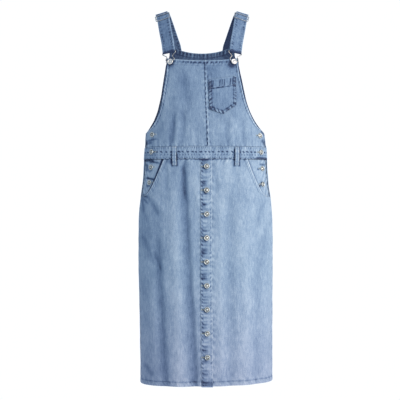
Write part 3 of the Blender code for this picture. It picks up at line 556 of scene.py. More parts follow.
def makeDenim(name, tone, seed, tones=denim["outerTones"], depth=1.0):
    # tone moves the whole cloth lighter or darker
    finish = Finish("denim_" + name, roughness=0.92, specular=0.18)
    place = finish.node("ShaderNodeUVMap", {"uv_map": "cut"}, {})
    wash = finish.attribute("wash")
    slub = finish.noise(place, (0.0016, 0.016, 1.0), 1.0, 0.5, seed)
    broad = finish.noise(place, (0.0055, 0.034, 1.0), 2.0, 0.55, seed + 3.1)
    clouds = finish.noise(place, (0.045, 0.075, 1.0), 3.0, 0.55, seed + 7.7)
    mottle = finish.noise(place, (0.0090, 0.0150, 1.0), 2.0, 0.55, seed + 11.3)
    grain = finish.noise(place, (0.0026, 0.0034, 1.0), 3.0, 0.7, seed + 15.9)
    split = finish.tree.nodes.new("ShaderNodeSeparateXYZ")
    finish.feed(split.inputs[0], place)
    across, up = (Amount(finish.tree, split.outputs[i]) for i in (0, 1))
    ribs = ((across + up * 0.62) * (math.tau / denim["twillPitch"])).sine()
    fadeAndShade = (
        wash + 0.5 + tone
        + (slub - 0.5) * denim["slub"]
        + (broad - 0.5) * denim["broadSlub"]
        + (clouds - 0.5) * denim["clouds"]
        + (mottle - 0.5) * denim["mottle"]
        + (grain - 0.5) * denim["grain"]
        + ribs * denim["twill"] * 0.5
    )
    colour = finish.node("ShaderNodeValToRGB", {"stops": tones}, {"Fac": fadeAndShade}, "Color")
    lowness = (up - denim["greyFrom"]) * (1 / (denim["greyTo"] - denim["greyFrom"]))
    greyed = {0: lowness.within(), 6: colour, 7: (*denim["greyTint"], 1.0)}
    colour = finish.node("ShaderNodeMix", {"data_type": "RGBA", "blend_type": "MULTIPLY"}, greyed, 2)
    finish.set("Base Color", colour)
    height = ribs * 0.35 + slub * 0.9 + grain * 0.7 + broad * 1.6 + mottle * 1.8
    finish.relief(height, denim["yarnRelief"] * depth, 0.7)
    return finish.material


def makeThread(name, light, dark):
    finish = Finish(name, roughness=0.75, specular=0.25)
    place = finish.node("ShaderNodeTexCoord", {}, {}, "Object")
    fuzz = finish.noise(place, (0.004, 0.004, 0.004), 2.0, 0.6)
    twist = finish.noise(place, (0.0004, 0.0004, 0.0012), 1.0)
    ends = {0: fuzz * 1.4 - 0.2, 6: (*dark, 1.0), 7: (*light, 1.0)}
    finish.set("Base Color", finish.node("ShaderNodeMix", {"data_type": "RGBA"}, ends, 2))
    finish.relief(twist, 0.0001)
    return finish.material


metals = {  # darker and lighter colour, roughness
    "cap": ((0.18, 0.22, 0.25), (0.40, 0.47, 0.52), 0.46),
    "bright": ((0.36, 0.39, 0.42), (0.54, 0.57, 0.61), 0.50),
    "aged": ((0.036, 0.038, 0.040), (0.14, 0.15, 0.155), 0.52),
    "wire": ((0.060, 0.066, 0.072), (0.26, 0.29, 0.32), 0.42),
    "rail": ((0.13, 0.16, 0.20), (0.34, 0.40, 0.47), 0.46),
}


def makeMetal(name, dark, light, roughness):
    finish = Finish(name, roughness=roughness, metallic=1.0)
    place = finish.node("ShaderNodeTexCoord", {}, {}, "Object")
    dull = finish.noise(place, (0.006, 0.006, 0.006), 3.0, 0.6)
    scratches = finish.noise(place, (0.0006, 0.0040, 0.0012), 2.0, 0.6, 2.0)
    stops = ((0.30, dark), (0.62, light))
    finish.set("Base Color", finish.node("ShaderNodeValToRGB", {"stops": stops}, {"Fac": dull}, "Color"))
    finish.set("Roughness", dull * 0.18 + scratches * 0.14 + (roughness - 0.16))
    finish.relief(scratches, 0.00006)
    return finish.material


seamThread = makeThread("thread_seam", (0.24, 0.32, 0.43), (0.11, 0.17, 0.27))
creamThread = makeThread("thread_buttonhole", (0.33, 0.42, 0.46), (0.14, 0.19, 0.24))
slitShade = makeThread("buttonhole_slit", (0.020, 0.030, 0.055), (0.010, 0.016, 0.032))
nickel = {name: makeMetal("nickel_" + name, *looks) for name, looks in metals.items()}
reverse = makeDenim("reverse", 0.0, 5.0, denim["reverseTones"], 0.7)


# Sewn cloth


def addObject(name, data):
    made = bpy.data.objects.new(name, data)
    scene.collection.objects.link(made)
    return made


def meshOf(name, shape):
    mesh = bpy.data.meshes.new(name)
    shape.to_mesh(mesh)
    shape.free()
    return mesh


def meshMadeBy(maker):
    # what an object's curve or modifiers make, in place of the object
    bpy.context.view_layer.update()
    graph = bpy.context.evaluated_depsgraph_get()
    mesh = bpy.data.meshes.new_from_object(maker.evaluated_get(graph), depsgraph=graph)
    bpy.data.objects.remove(maker)
    return mesh


def addPiece(name, mesh, materials, replaced=()):
    piece = addObject(name, mesh)
    for material in materials:
        mesh.materials.append(material)
    mesh.shade_smooth()
    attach(piece, "root")
    if replaced:
        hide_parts(*replaced)
    return piece


def gridMesh(name, columns, rows):
    # flat grid, with the share across and up of each of its points
    shape = bmesh.new()
    across, up = len(columns) - 1, len(rows) - 1
    bmesh.ops.create_grid(shape, x_segments=across, y_segments=up, size=0.5)
    mesh = meshOf(name, shape)
    places = np.zeros(len(mesh.vertices) * 3)
    mesh.vertices.foreach_get("co", places)
    places = places.reshape(-1, 3) + 0.5
    u = columns[np.rint(places[:, 0] * across).astype(int)]
    v = rows[np.rint(places[:, 1] * up).astype(int)]
    return mesh, u, v


def cornersOf(mesh):
    corners = np.zeros(len(mesh.loops), int)
    mesh.loops.foreach_get("vertex_index", corners)
    return corners


def layOut(mesh, points, normals, cut, wash):
    # moves a grid's points to their places, and keeps where each lies in the cut, how faded it is and its painted
    # light and shade
    mesh.vertices.foreach_set("co", points.ravel())
    corners = cornersOf(mesh)
    cutMap = mesh.uv_layers.new(name="cut")
    cutMap.data.foreach_set("uv", cut[corners].astype(np.float32).ravel())
    mesh.attributes.new("wash", "FLOAT", "POINT").data.foreach_set("value", wash.astype(np.float32))
    mesh.update()
    facing = np.zeros(len(mesh.polygons) * 3)
    mesh.polygons.foreach_get("normal", facing)
    if np.mean(np.sum(facing.reshape(-1, 3) * normals[corners[::4]], axis=1)) < 0:
        mesh.flip_normals()


def flatArea(cut, mesh):
    # area of the flat piece, from the corners of its cells
    a, b, c, d = cut[cornersOf(mesh)].reshape(-1, 4, 2).transpose(1, 0, 2)
    first, second = c - a, d - b
    return float(np.sum(np.abs(first[:, 0] * second[:, 1] - first[:, 1] * second[:, 0])) / 2)


def thicken(piece, thickness, offset=-1.0):
    wall = piece.modifiers.new("cloth", "SOLIDIFY")
    wall.thickness = thickness
    wall.offset = offset
    wall.material_offset = 1
    return piece


def addCloth(
    node, columns, rows, place, lift, outer, thickness=cloth, acrossOf=None
):
    # one piece of cloth: place(u, v) gives height and distance along, lift(z, along) its relief,
    # acrossOf(z, along) its place across the flat cut
    mesh, u, v = gridMesh("cloth_" + node, columns, rows)
    z, along = np.broadcast_arrays(*place(u, v))
    relief = lift(z, along)
    points, normals, wash = clothPoints(z, along, relief.height)
    cut = np.stack([acrossOf(z, along) if acrossOf else along, z], axis=1)
    layOut(mesh, points, normals, cut, wash + relief.wash)
    piece = addPiece("cloth_" + node, mesh, [outer, reverse], [node])
    thicken(piece, thickness)
    width, length = cut.max(axis=0) - cut.min(axis=0)
    area = min(flatArea(cut, mesh), width * length)
    return piece


def sided(name, side):
    return name + ("_right" if side > 0 else "_left")


# Stitches: each sewn row is a run of points on a piece, and the stitches are spaced along it


def runLengths(points):
    # how far along a track each of its points is
    return np.concatenate([[0.0], np.cumsum(np.linalg.norm(np.diff(points, axis=0), axis=1))])


class Sewing:
    def __init__(self):
        self.places, self.turns, self.sizes = [], [], []

    def row(self, z, along, lift, pitch=0.0033, long=0.0025, wide=0.00062, out=None):
        # a row of stitches on a piece of cloth
        points, normals = clothPoints(z, along, lift(z, along).height + (out or threadOut))[:2]
        self.run(points, normals, pitch, long, wide)

    def run(self, points, normals, pitch=0.0033, long=0.0025, wide=0.00062):
        # stitches along a track of points, at an even pitch
        lengths = runLengths(points)
        count = int(lengths[-1] / pitch)
        if count < 1:
            return
        middles = (np.arange(count) + 0.5) * lengths[-1] / count
        before, middle, after = (
            np.stack([np.interp(middles + shift, lengths, points[:, axis]) for axis in range(3)], axis=1)
            for shift in (-pitch / 3, 0.0, pitch / 3)
        )
        outward = np.stack([np.interp(middles, lengths, normals[:, axis]) for axis in range(3)], axis=1)
        for place, ahead, normal in zip(middle, after - before, outward):
            self.stitch(Vector(place), Vector(ahead), Vector(normal), long, wide)

    def stitch(self, place, ahead, normal, long, wide):
        ahead = ahead.normalized()
        across = normal.cross(ahead).normalized()
        normal = ahead.cross(across)
        turn = Matrix((ahead, across, normal)).transposed().to_quaternion()
        self.places.append(place)
        self.turns.append(turn)
        self.sizes.append((long / 2, wide / 2, wide * 0.36))

    def finish(self, name, thread):
        # sets a small thread-shaped body on each of the stitches and joins them
        dots = bpy.data.meshes.new(name + "_dots")
        dots.from_pydata([tuple(place) for place in self.places], [], [])
        turns = dots.attributes.new("turn", "QUATERNION", "POINT")
        turns.data.foreach_set("value", np.array([tuple(turn) for turn in self.turns], np.float32).ravel())
        sizes = dots.attributes.new("size", "FLOAT_VECTOR", "POINT")
        sizes.data.foreach_set("vector", np.array(self.sizes, np.float32).ravel())
        maker = addObject(name + "_maker", dots)
        maker.modifiers.new("stitches", "NODES").node_group = stitchNodes()
        mesh = meshMadeBy(maker)
        mesh.name = name
        mesh.materials.clear()
        bpy.data.meshes.remove(dots)
        addPiece(name, mesh, [thread])


def stitchNodes():
    # nodes that set a long round body on each point, turned and sized by the point's attributes
    group = bpy.data.node_groups.get("set_stitches")
    if group:
        return group
    group = bpy.data.node_groups.new("set_stitches", "GeometryNodeTree")
    for way in ("INPUT", "OUTPUT"):
        group.interface.new_socket("Geometry", in_out=way, socket_type="NodeSocketGeometry")
    new, link = group.nodes.new, group.links.new
    entry, result = new("NodeGroupInput"), new("NodeGroupOutput")
    body, spread = new("GeometryNodeMeshIcoSphere"), new("GeometryNodeInstanceOnPoints")
    real = new("GeometryNodeRealizeInstances")
    body.inputs["Radius"].default_value = 1.0
    body.inputs["Subdivisions"].default_value = 1
    for name, kind, use in (("turn", "QUATERNION", "Rotation"), ("size", "FLOAT_VECTOR", "Scale")):
        reader = new("GeometryNodeInputNamedAttribute")
        reader.data_type = kind
        reader.inputs["Name"].default_value = name
        link(reader.outputs["Attribute"], spread.inputs[use])
    link(entry.outputs[0], spread.inputs["Points"])
    link(body.outputs["Mesh"], spread.inputs["Instance"])
    link(spread.outputs["Instances"], real.inputs["Geometry"])
    link(real.outputs["Geometry"], result.inputs[0])
    return group


sewing, creamSewing, slits = Sewing(), Sewing(), Sewing()
sewingStep = 0.0015  # between the points that a row of stitches follows
threadOut = 0.00012  # from the cloth to the middle of its stitches


def sewUp(way, lift, low, high, side=1, off=0.0):
    # row of stitches that goes up a piece beside an edge whose reach is way(z)
    z = np.arange(low, high, sewingStep)
    sewing.row(z, side * (way(z) - off * steepness(way, z)), lift)


def sewAcross(heightOf, lift, left, right):
    # row of stitches that goes across a piece at the height heightOf(along)
    along = np.arange(left, right, sewingStep)
    sewing.row(heightOf(along), along, lift)


def sewBehind(heightOf, lift, far):
    # the same across the back, from its centre out to both sides
    for side in (-1, 1):
        across = side * np.arange(0.0005, far, sewingStep)
        z = heightOf(across)
        sewing.row(z, fromBack(z, across), lift)


# Bodice
bodice = {
    "frontTopCentre": -0.1580, "frontTopSide": -0.1490,
    "backTopCentre": -0.1120, "backTopSide": -0.0900,
    "waist": -0.4210, "centreSeam": 0.0050, "armholeFloor": -0.3800,
    "armholeFront": (  # height, half width of the cloth
        (-0.149, 0.1105), (-0.168, 0.1112), (-0.198, 0.1136), (-0.235, 0.1203), (-0.271, 0.1270),
        (-0.307, 0.1372), (-0.325, 0.1443), (-0.343, 0.1540), (-0.361, 0.1672), (-0.376, 0.1850),
    ),
    "armholeBack": (
        (-0.090, 0.1062), (-0.105, 0.1048), (-0.120, 0.1050), (-0.136, 0.1105), (-0.152, 0.1170),
        (-0.176, 0.1215), (-0.215, 0.1290), (-0.253, 0.1355), (-0.291, 0.1450), (-0.311, 0.1518),
        (-0.330, 0.1600), (-0.350, 0.1712), (-0.374, 0.1862),
    ),
    "edgeHem": 0.0075, "topHem": 0.0145, "step": 0.0021, "backStep": 0.0034,
    "buttonShadowSpot": {-1: (-0.1010, -0.1660), 1: (0.0905, -0.1680)},  # middle of the painted shadow below a bib button
    "tone": {-1: -0.03, 1: -0.02}, "topDarkening": {-1: -0.07, 1: -0.17},  # the upper bib is darker
}
armholeFrontAt = smoothCurve(bodice["armholeFront"])
armholeBackAt = smoothCurve(bodice["armholeBack"])
armholeFrontWay = frontWay(armholeFrontAt)
armholeBackWay = backWay(armholeBackAt)


def frontEdge(z):
    return np.minimum(armholeFrontWay(z), sideAlong(z) - seam / 2)


def backEdge(z):
    # as its reach from the centre back
    full = girth(z) - sideAlong(z) - seam / 2
    curveEnd = bodice["armholeBack"][-1][0]
    floor = bodice["armholeFloor"]
    turning = lerp(full, armholeBackWay(curveEnd), np.clip((z - floor) / (curveEnd - floor), 0, 1))
    return np.where(z <= floor, full, np.where(z < curveEnd, turning, armholeBackWay(z)))


def makeFrontBib(side):
    start = bodice["centreSeam"] + side * seam / 2
    bottom = bodice["waist"] + seam
    seed = 20 + side

    def place(u, v):
        top = lerp(bodice["frontTopCentre"], bodice["frontTopSide"], u * u)
        edgeHeight = lerp(bottom, bodice["frontTopSide"], v)
        return lerp(bottom, top, v), lerp(start, side * frontEdge(edgeHeight), u)

    def topAt(along):
        share = np.clip(np.abs(along - start) / 0.122, 0, 1.2)
        return lerp(bodice["frontTopCentre"], bodice["frontTopSide"], share**2)

    def lift(z, along):
        relief = Relief(z)
        reach = side * along
        fromCentre = side * (along - start)
        fromTop, fromEdge = topAt(along) - z, awayFrom(frontEdge, z, reach)
        relief.armhole(z - reach, fromEdge, seed)
        # painted light: the left bib is lighter near its armhole edge, where it turns away from the key light
        if side < 0:
            relief.add(hump(fromEdge - 0.0130, 0.0160), 0.0, 0.10)
        relief.edge(fromTop, 0.0018, 0.0006, 0.14)
        relief.band(fromTop, bodice["topHem"], 0.0005, 0.02)
        relief.add(hump(fromTop - 0.0165, 0.0016), 0.0, 0.14)
        # painted shadow of the bib button, with a slight dip in the cloth
        buttonX, buttonZ = bodice["buttonShadowSpot"][side]
        relief.add(hump(np.hypot(along - buttonX, z - buttonZ), 0.0125), -0.0003, -0.60)
        middle = 0.40 + 0.60 * (1 - smoothStep((fromCentre - 0.02) / 0.06))
        dents = Relief(z)
        dents.dashes(along, fromTop - 0.0060, seed + 9, 0.0064, 0.0022, -0.44, 0.1, 0.60)
        dents.dashes(along, fromTop - 0.0072, seed + 12, 0.0047, 0.0030, -0.34, 0.3, 0.50)
        relief.add(dents.wash * middle, 0.0008, 1.0)
        if side < 0:
            relief.add(hump(fromTop - 0.0075, 0.0045) * middle, 0.0, -0.20)
        relief.puckers(along, fromTop - 0.0110, seed + 4, 0.0060, 0.0065, 0.00035, 0.14)
        if side > 0:
            relief.add(1 - smoothStep((fromCentre - 0.0080) / 0.0016), 0.0004, 0.0)
            relief.puckers(z, fromCentre - 0.0045, seed + 5, 0.0090, 0.0050, 0.00040, 0.12)
            relief.dashes(z, fromCentre - 0.0002, seed + 8, 0.0080, 0.0021, -0.76, 0.0, 0.68)
            relief.add(hump(fromCentre - 0.0042, 0.0018), 0.0, 0.20)
            relief.dashes(z, fromCentre - 0.0090, seed + 10, 0.0120, 0.0014, -0.24, 0.2, 0.45)
            gather = hump(fromCentre - 0.0030, 0.0040) * hump(fromTop - 0.0130, 0.0050)
            relief.add(gather, -0.0004, -0.35)
        else:
            relief.edge(fromCentre, 0.0010, 0.0005, -0.26)
            relief.puckers(z, fromCentre - 0.002, seed + 5, 0.0080, 0.0060, 0.00040, 0.12)
        fromWaist = z - bottom
        relief.edge(fromWaist, 0.0014, 0.0005, -0.10)
        relief.puckers(along, fromWaist, seed + 6, 0.0060, 0.0075, 0.00050, 0.14, 0.1)
        relief.puckers(along, fromWaist, seed + 7, 0.0130, 0.0450, 0.00070, 0.07, 0.05)
        relief.add(smoothStep((z + 0.400) / 0.230), 0.0, bodice["topDarkening"][side])
        return relief

    columns = gradedShares(0.190, bodice["step"])
    rows = gradedShares(0.265, bodice["step"])
    outer = makeDenim(sided("bib", side), bodice["tone"][side], seed * 0.7)
    node = sided("bib_front", side)
    addCloth(node, columns, rows, place, lift, outer)
    sewUp(frontEdge, lift, bottom + 0.004, bodice["frontTopSide"] - 0.004, side, bodice["edgeHem"] - 0.0010)
    ends = sorted((start + side * 0.002, side * 0.118))
    sewAcross(lambda along: topAt(along) - bodice["topHem"] + 0.0012, lift, *ends)
    if side > 0:
        sewUp(lambda z: start + 0.0062 + 0 * z, lift, bottom, bodice["frontTopCentre"] - 0.002)
    return lift


def makeBackBib():
    bottom = bodice["waist"] + seam

    def place(u, v):
        across = 1 - 2 * u
        top = lerp(bodice["backTopCentre"], bodice["backTopSide"], across * across)
        edgeHeight = lerp(bottom, bodice["backTopSide"], v)
        return lerp(bottom, top, v), fromBack(lerp(bottom, top, v), across * backEdge(edgeHeight))

    def topAt(reach):
        across = np.clip(reach / bodice["armholeBack"][0][1], 0, 1.1)
        return lerp(bodice["backTopCentre"], bodice["backTopSide"], across**2)

    def lift(z, along):
        relief = Relief(z)
        signed = fromCentreBack(z, along)
        reach = np.abs(signed)
        fromTop, fromEdge = topAt(reach) - z, awayFrom(backEdge, z, reach)
        relief.armhole(z - reach, fromEdge, 41)
        relief.edge(fromTop, 0.0018, 0.0006, 0.16)
        relief.band(fromTop, bodice["topHem"], 0.0005, 0.02)
        relief.puckers(signed, fromTop - 0.0070, 42, 0.0055, 0.0090, 0.00040, 0.20, 0.1)
        relief.dashes(signed, fromTop - 0.0060, 45, 0.0062, 0.0035, -0.26, 0.1, 0.5)
        # painted shadow of the straps' ends on the bib, stronger towards its top
        relief.add(hump(reach - 0.0980, 0.0320) * smoothStep((z + 0.220) / 0.100), 0.0, -0.16)
        fromWaist = z - bottom
        relief.edge(fromWaist, 0.0014, 0.0005, -0.16)
        relief.puckers(signed, fromWaist, 43, 0.0080, 0.0090, 0.00050, 0.18)
        relief.puckers(signed, fromWaist, 44, 0.0140, 0.0480, 0.00080, 0.07, 0.05)
        return relief

    columns = gradedShares(0.420, bodice["backStep"])
    rows = gradedShares(0.312, bodice["backStep"])
    outer = makeDenim("back_bib", -0.03, 4.1)
    # the inside is painted darker than the outside, as the shade inside the dress
    shadedInside = makeDenim("back_bib_inside_painted_shade", -0.33, 14.6)
    piece = addCloth("bib_back", columns, rows, place, lift, outer, acrossOf=fromCentreBack)
    piece.data.materials[1] = shadedInside
    z = np.arange(bottom + 0.004, bodice["backTopSide"] - 0.004, sewingStep)
    reach = backEdge(z) - (bodice["edgeHem"] - 0.0010) * steepness(backEdge, z)
    for side in (-1, 1):
        sewing.row(z, fromBack(z, side * reach), lift)
    sewBehind(lambda across: topAt(np.abs(across)) - bodice["topHem"] + 0.0012, lift, 0.104)


bibLifts = {side: makeFrontBib(side) for side in (-1, 1)}
makeBackBib()
print("bodice sewn")

# Chest pocket
pocket = {
    "topLeft": (0.0157, -0.2190), "topRight": (0.1010, -0.2060),
    "lowLeft": (0.0165, -0.3095), "lowRight": (0.0990, -0.2950),
    "width": 0.0838, "point": 0.0210, "band": 0.0270, "layer": 0.0008, "step": 0.0011, "tone": -0.16,
    "bars": (0.0030, 0.0078, 0.0135, 0.0345, 0.0412, 0.0480, 0.0660, 0.0730, 0.0798),  # its band's dark dents
}


def makeChestPocket():
    (leftTopX, leftTopZ), (rightTopX, rightTopZ) = pocket["topLeft"], pocket["topRight"]
    (leftLowX, leftLowZ), (rightLowX, rightLowZ) = pocket["lowLeft"], pocket["lowRight"]
    height, wide, bandWidth = leftTopZ - leftLowZ, pocket["width"], pocket["band"]
    widths = np.linspace(0.0, 0.14, 141)
    ways = [frontWay(lambda z, width=width: width) for width in widths]
    alongTable = np.array([way(tableHeights) for way in ways]).T  # where the front is that wide

    def pointAt(u):
        return pocket["point"] * (1 - np.abs(2 * u - 1))

    def place(u, v):
        z = lerp(lerp(leftLowZ, rightLowZ, u) - pointAt(u), lerp(leftTopZ, rightTopZ, u), v)
        x = lerp(lerp(leftLowX, rightLowX, u), lerp(leftTopX, rightTopX, u), v)
        return z, readTable(alongTable, tableRow(z), np.clip(x / widths[1], 0, len(widths) - 1.001))

    def reliefAt(u, v, z):
        relief = Relief(z, pocket["layer"] + cloth)
        tall = height + pointAt(u)
        fromLeft, fromRight = u * wide, (1 - u) * wide
        fromTop, fromLow = (1 - v) * tall, v * tall * 0.90
        for away, run, seed in ((fromLeft, fromTop, 61), (fromRight, fromTop, 62), (fromLow, fromLeft, 63)):
            relief.edge(away, 0.0016, 0.0008, -0.06)
            relief.band(away, 0.0070, 0.0004, 0.0)
            relief.puckers(run, away - 0.002, seed, 0.0050, 0.0056, 0.00050, 0.21, 0.5)
            relief.dashes(run, away - 0.0048, seed + 5, 0.0066, 0.0060, -0.39, 0.5, 0.50)
            relief.dashes(run, away - 0.0012, seed + 8, 0.0045, 0.0014, -0.22, 0.4, 0.55)
        relief.edge(fromTop, 0.0016, 0.0006, 0.12)
        relief.band(fromTop, bandWidth, 0.0006, 0.0)
        relief.puckers(fromLeft, fromTop - bandWidth, 64, 0.0085, 0.0042, 0.00040, 0.10)
        onBand = smoothStep((fromTop - 0.0030) / 0.0030) * smoothStep((bandWidth - fromTop) / 0.0030)
        for spot in pocket["bars"]:
            relief.add(onBand * hump(fromLeft - spot + 0.10 * (fromTop - 0.013), 0.0016), -0.0004, -0.36)
        # painted shade under the band's lower edge, weaker towards the pocket's lit right
        dark = hump(fromTop - bandWidth - 0.001, 0.0022) * (1 - 0.7 * smoothStep((u - 0.35) / 0.5))
        relief.add(dark * (0.75 + 0.5 * roughWave(fromLeft, 0.0060, 78)), -0.0003, -0.36)
        return relief

    def pointsAt(u, v, out=0.0):
        z, along = place(u, v)
        relief, under = reliefAt(u, v, z), bibLifts[1](z, along)
        points, normals, wash = clothPoints(z, along, relief.height + under.height * 0.5 + out)
        return points, normals, wash + relief.wash

    columns, rows = gradedShares(0.085, pocket["step"]), gradedShares(0.111, pocket["step"])
    mesh, u, v = gridMesh("cloth_chest_pocket", columns, rows)
    points, normals, wash = pointsAt(u, v)
    cut = np.stack(place(u, v)[::-1], axis=1)
    layOut(mesh, points, normals, cut, wash)
    outer = makeDenim("chest_pocket", pocket["tone"], 9.4)
    piece = thicken(addPiece("cloth_chest_pocket", mesh, [outer, reverse], ["chest_pocket"]), cloth)
    flatArea(cut, mesh)

    def sewOn(u, v):
        sewing.run(*pointsAt(u, v, threadOut)[:2], 0.0030)

    for inset in (0.0016, 0.0062):
        inU, inV = inset / wide, inset / 0.100
        track = np.linspace(0, 1, 90)
        sewOn(inU + 0 * track, lerp(0.995, inV, track))
        sewOn(lerp(inU, 1 - inU, track), inV + 0 * track)
        sewOn(1 - inU + 0 * track, lerp(inV, 0.995, track))
    track = np.linspace(0.02, 0.98, 90)
    sewOn(track, 1 - (bandWidth - 0.0012) / (height + pointAt(track)))


makeChestPocket()
print("chest pocket sewn")

# Waistband and belt loops
band = {
    "top": -0.4210, "bottom": -0.4590, "out": 0.0011, "thickness": 0.0026,
    "step": 0.0017, "backStep": 0.0026, "rowStep": 0.0013, "tone": -0.02,
}


def makeWaistband(face):
    top, bottom = band["top"], band["bottom"]
    seed = 70 + face

    def place(u, v):
        z = lerp(bottom, top, v)
        if face < 0:
            return z, (2 * u - 1) * (sideAlong(z) - seam / 2)
        return z, fromBack(z, (1 - 2 * u) * (girth(z) - sideAlong(z) - seam / 2))

    def lift(z, along):
        relief = Relief(z, band["out"])
        fromTop, fromLow = top - z, z - bottom
        run = along if face < 0 else fromCentreBack(z, along)
        fromSide = np.abs(sideAlong(z) - np.abs(along))
        for away, shift in ((fromTop, 0), (fromLow, 1)):
            relief.edge(away, 0.0016, 0.0007, 0.04)
            relief.puckers(run, away - 0.004, seed + 3 + shift, 0.0036, 0.0045, 0.00035, 0.18, 0.1)
            relief.dashes(run, away - 0.0040, seed + 11 + shift, 0.0034, 0.0020, -0.30, 0.1, 0.5)
        relief.dashes(run, fromLow - 0.0012, seed + 6, 0.0070, 0.0014, -0.50)
        relief.add(roughWave(run, 0.0210, seed + 14), 0.0, 0.07)
        relief.edge(fromSide, 0.0016, 0.0006, 0.10)
        relief.band(fromSide, 0.0080, 0.0003, 0.03)
        weave = 0.0010 * roughWave(run, 0.0060, seed + 7)
        relief.dashes(run, fromTop - 0.0165 - weave, seed + 8, 0.0072, 0.0020, -0.84, -0.8, 0.58)
        relief.dashes(run, fromTop - 0.0255 - weave, seed + 15, 0.0048, 0.0016, -0.38, 0.4, 0.50)
        relief.puckers(run, fromTop - 0.0215, seed + 9, 0.0046, 0.0060, 0.00035, 0.13, -0.3)
        relief.puckers(run, fromTop - 0.0110, seed + 10, 0.0040, 0.0060, 0.00035, 0.13, 0.3)
        if face < 0:
            relief.add(loopShade(z, along), 0.0, 1.0)
        return relief

    length, step = (0.42, band["step"]) if face < 0 else (0.46, band["backStep"])
    columns, rows = gradedShares(length, step), gradedShares(top - bottom, band["rowStep"])
    node = "waistband_front" if face < 0 else "waistband_back"
    outer = makeDenim(node, band["tone"], seed * 0.3)
    acrossOf = fromCentreBack if face > 0 else None
    addCloth(node, columns, rows, place, lift, outer, thickness=band["thickness"], acrossOf=acrossOf)
    for z0 in (top - 0.0022, bottom + 0.0022):
        if face < 0:
            reach = float(sideAlong(z0)) - 0.003
            sewAcross(lambda along: z0 + 0 * along, lift, -reach, reach)
        else:
            sewBehind(lambda across: z0 + 0 * across, lift, float(girth(z0) - sideAlong(z0)) - 0.003)
    return lift


loops = {
    "width": 0.0120, "cloth": 0.0016, "frontX": 0.0955, "backX": 0.1000,
    "rises": (  # height, distance of the loop's inner face out of the cloth
        (-0.4790, 0.0005), (-0.4700, 0.0005), (-0.4640, 0.0026), (-0.4540, 0.0041), (-0.4400, 0.0045),
        (-0.4290, 0.0038), (-0.4250, 0.0016), (-0.4215, 0.0016),
    ),
    "step": 0.0012,
}
loopRiseAt = smoothCurve(loops["rises"])
loopFrontWay = frontWay(lambda z: loops["frontX"])
loopBackWay = backWay(lambda z: loops["backX"])


def loopShade(z, along):
    # painted shadow of the front loops on the cloth close beside them, stronger towards their lower ends
    off = np.abs(np.abs(along) - loopFrontWay(z)) - loops["width"] / 2
    low = loops["rises"][0][0]
    uneven = 0.45 + 0.55 * smoothStep((low + 0.052 + np.where(along < 0, -0.006, 0.004) - z) / 0.016)
    return -0.50 * uneven * hump(off - 0.0010, 0.0044) * smoothStep((z - low + 0.006) / 0.006)


def makeBeltLoop(node, middleOf, seed):
    low, high = loops["rises"][0][0], loops["rises"][-1][0]

    def place(u, v):
        z = lerp(low, high, v)
        return z, middleOf(z) + (u - 0.5) * loops["width"]

    def lift(z, along):
        relief = Relief(z, loopRiseAt(z) + loops["cloth"])
        off = np.abs(along - middleOf(z))
        relief.edge(loops["width"] / 2 - off, 0.0016, 0.0006, 0.10)
        relief.add(hump(off, 0.0018), -0.0002, -0.14)
        relief.puckers(z, off - 0.004, seed, 0.0050, 0.0020, 0.00025, 0.22)
        relief.edge(np.minimum(z - low, high - z), 0.0016, 0.0006, 0.10)
        return relief

    columns, rows = evenShares(loops["width"], 0.0011), evenShares(high - low, loops["step"])

    def acrossOf(z, along):
        return along - middleOf(z) + 0.01 * seed

    addCloth(node, columns, rows, place, lift, loopDenim, loops["cloth"], acrossOf)
    z = np.arange(low + 0.002, high - 0.001, sewingStep)
    for off in (-0.0036, 0.0036):
        sewing.row(z, middleOf(z) + off, lift, pitch=0.0028, long=0.0021)
    for height in (low + 0.0035, low + 0.0050, high - 0.0020, high - 0.0034):
        for step in np.arange(-0.0045, 0.0046, 0.0011):
            tackZ = np.array([height - 0.0008, height + 0.0008])
            sewing.row(tackZ, middleOf(tackZ) + step, lift, pitch=0.0016, long=0.0022, wide=0.0007)


waistLift = makeWaistband(-1)
makeWaistband(1)
loopDenim = makeDenim("loop", 0.04, 2.2)
for side in (-1, 1):
    node = sided("belt_loop_front", side)
    makeBeltLoop(node, lambda z, side=side: side * loopFrontWay(z), 80 + side)
    node = sided("belt_loop_back", side)
    makeBeltLoop(node, lambda z, side=side: fromBack(z, side * loopBackWay(z)), 84 + side)
makeBeltLoop("belt_loop_back_centre", lambda z: girth(z) - loops["width"], 88)
print("waistband and loops sewn")

# Skirt
skirt = {
    "top": -0.4593, "hemCentre": -1.1518, "hemRise": 0.0037, "hem": 0.0125, "bandDrop": 0.0024,
    "standLeft": -0.0131, "standRight": 0.0185, "bandLeft": -0.0159, "bandRight": 0.0191,
    "bandCloth": 0.0020, "bandShown": 0.0013,  # the band looks thinner than its folded cloth holds
    "pocketMouth": (  # height, half width of the cloth
        (-0.459, 0.1290), (-0.480, 0.1365), (-0.503, 0.1460), (-0.525, 0.1555), (-0.545, 0.1655),
        (-0.560, 0.1745), (-0.569, 0.1840), (-0.578, 0.2060),
    ),
    "mouthLift": 0.0030,  # how far the left pocket's mouth stands open
    "mouthShade": {-1: -0.95, 1: -0.25},  # painted shade on the pocket's back along its mouth, in the shadow of the mouth's edge
    "mouthGap": {-1: 0.0080, 1: 0.0045},
    "pocketInner": 0.1050, "pocketFoot": -0.6150,  # how far in and down the pocket's back goes
    "hemAcross": 0.247, "backHemAcross": 0.262,  # from the middle to the side seam at the hem
    "tone": {-1: 0.0, 1: 0.03}, "pocketTone": {-1: 0.12, 1: 0.03}, "bandTone": 0.04,
    "step": 0.0026, "backStep": 0.0038,
}
pocketMouthAt = smoothCurve(skirt["pocketMouth"])
pocketMouthWay = frontWay(lambda z: min(float(pocketMouthAt(z)), float(halfWidthAt(z))))
mouthEnd = skirt["pocketMouth"][-1][0]


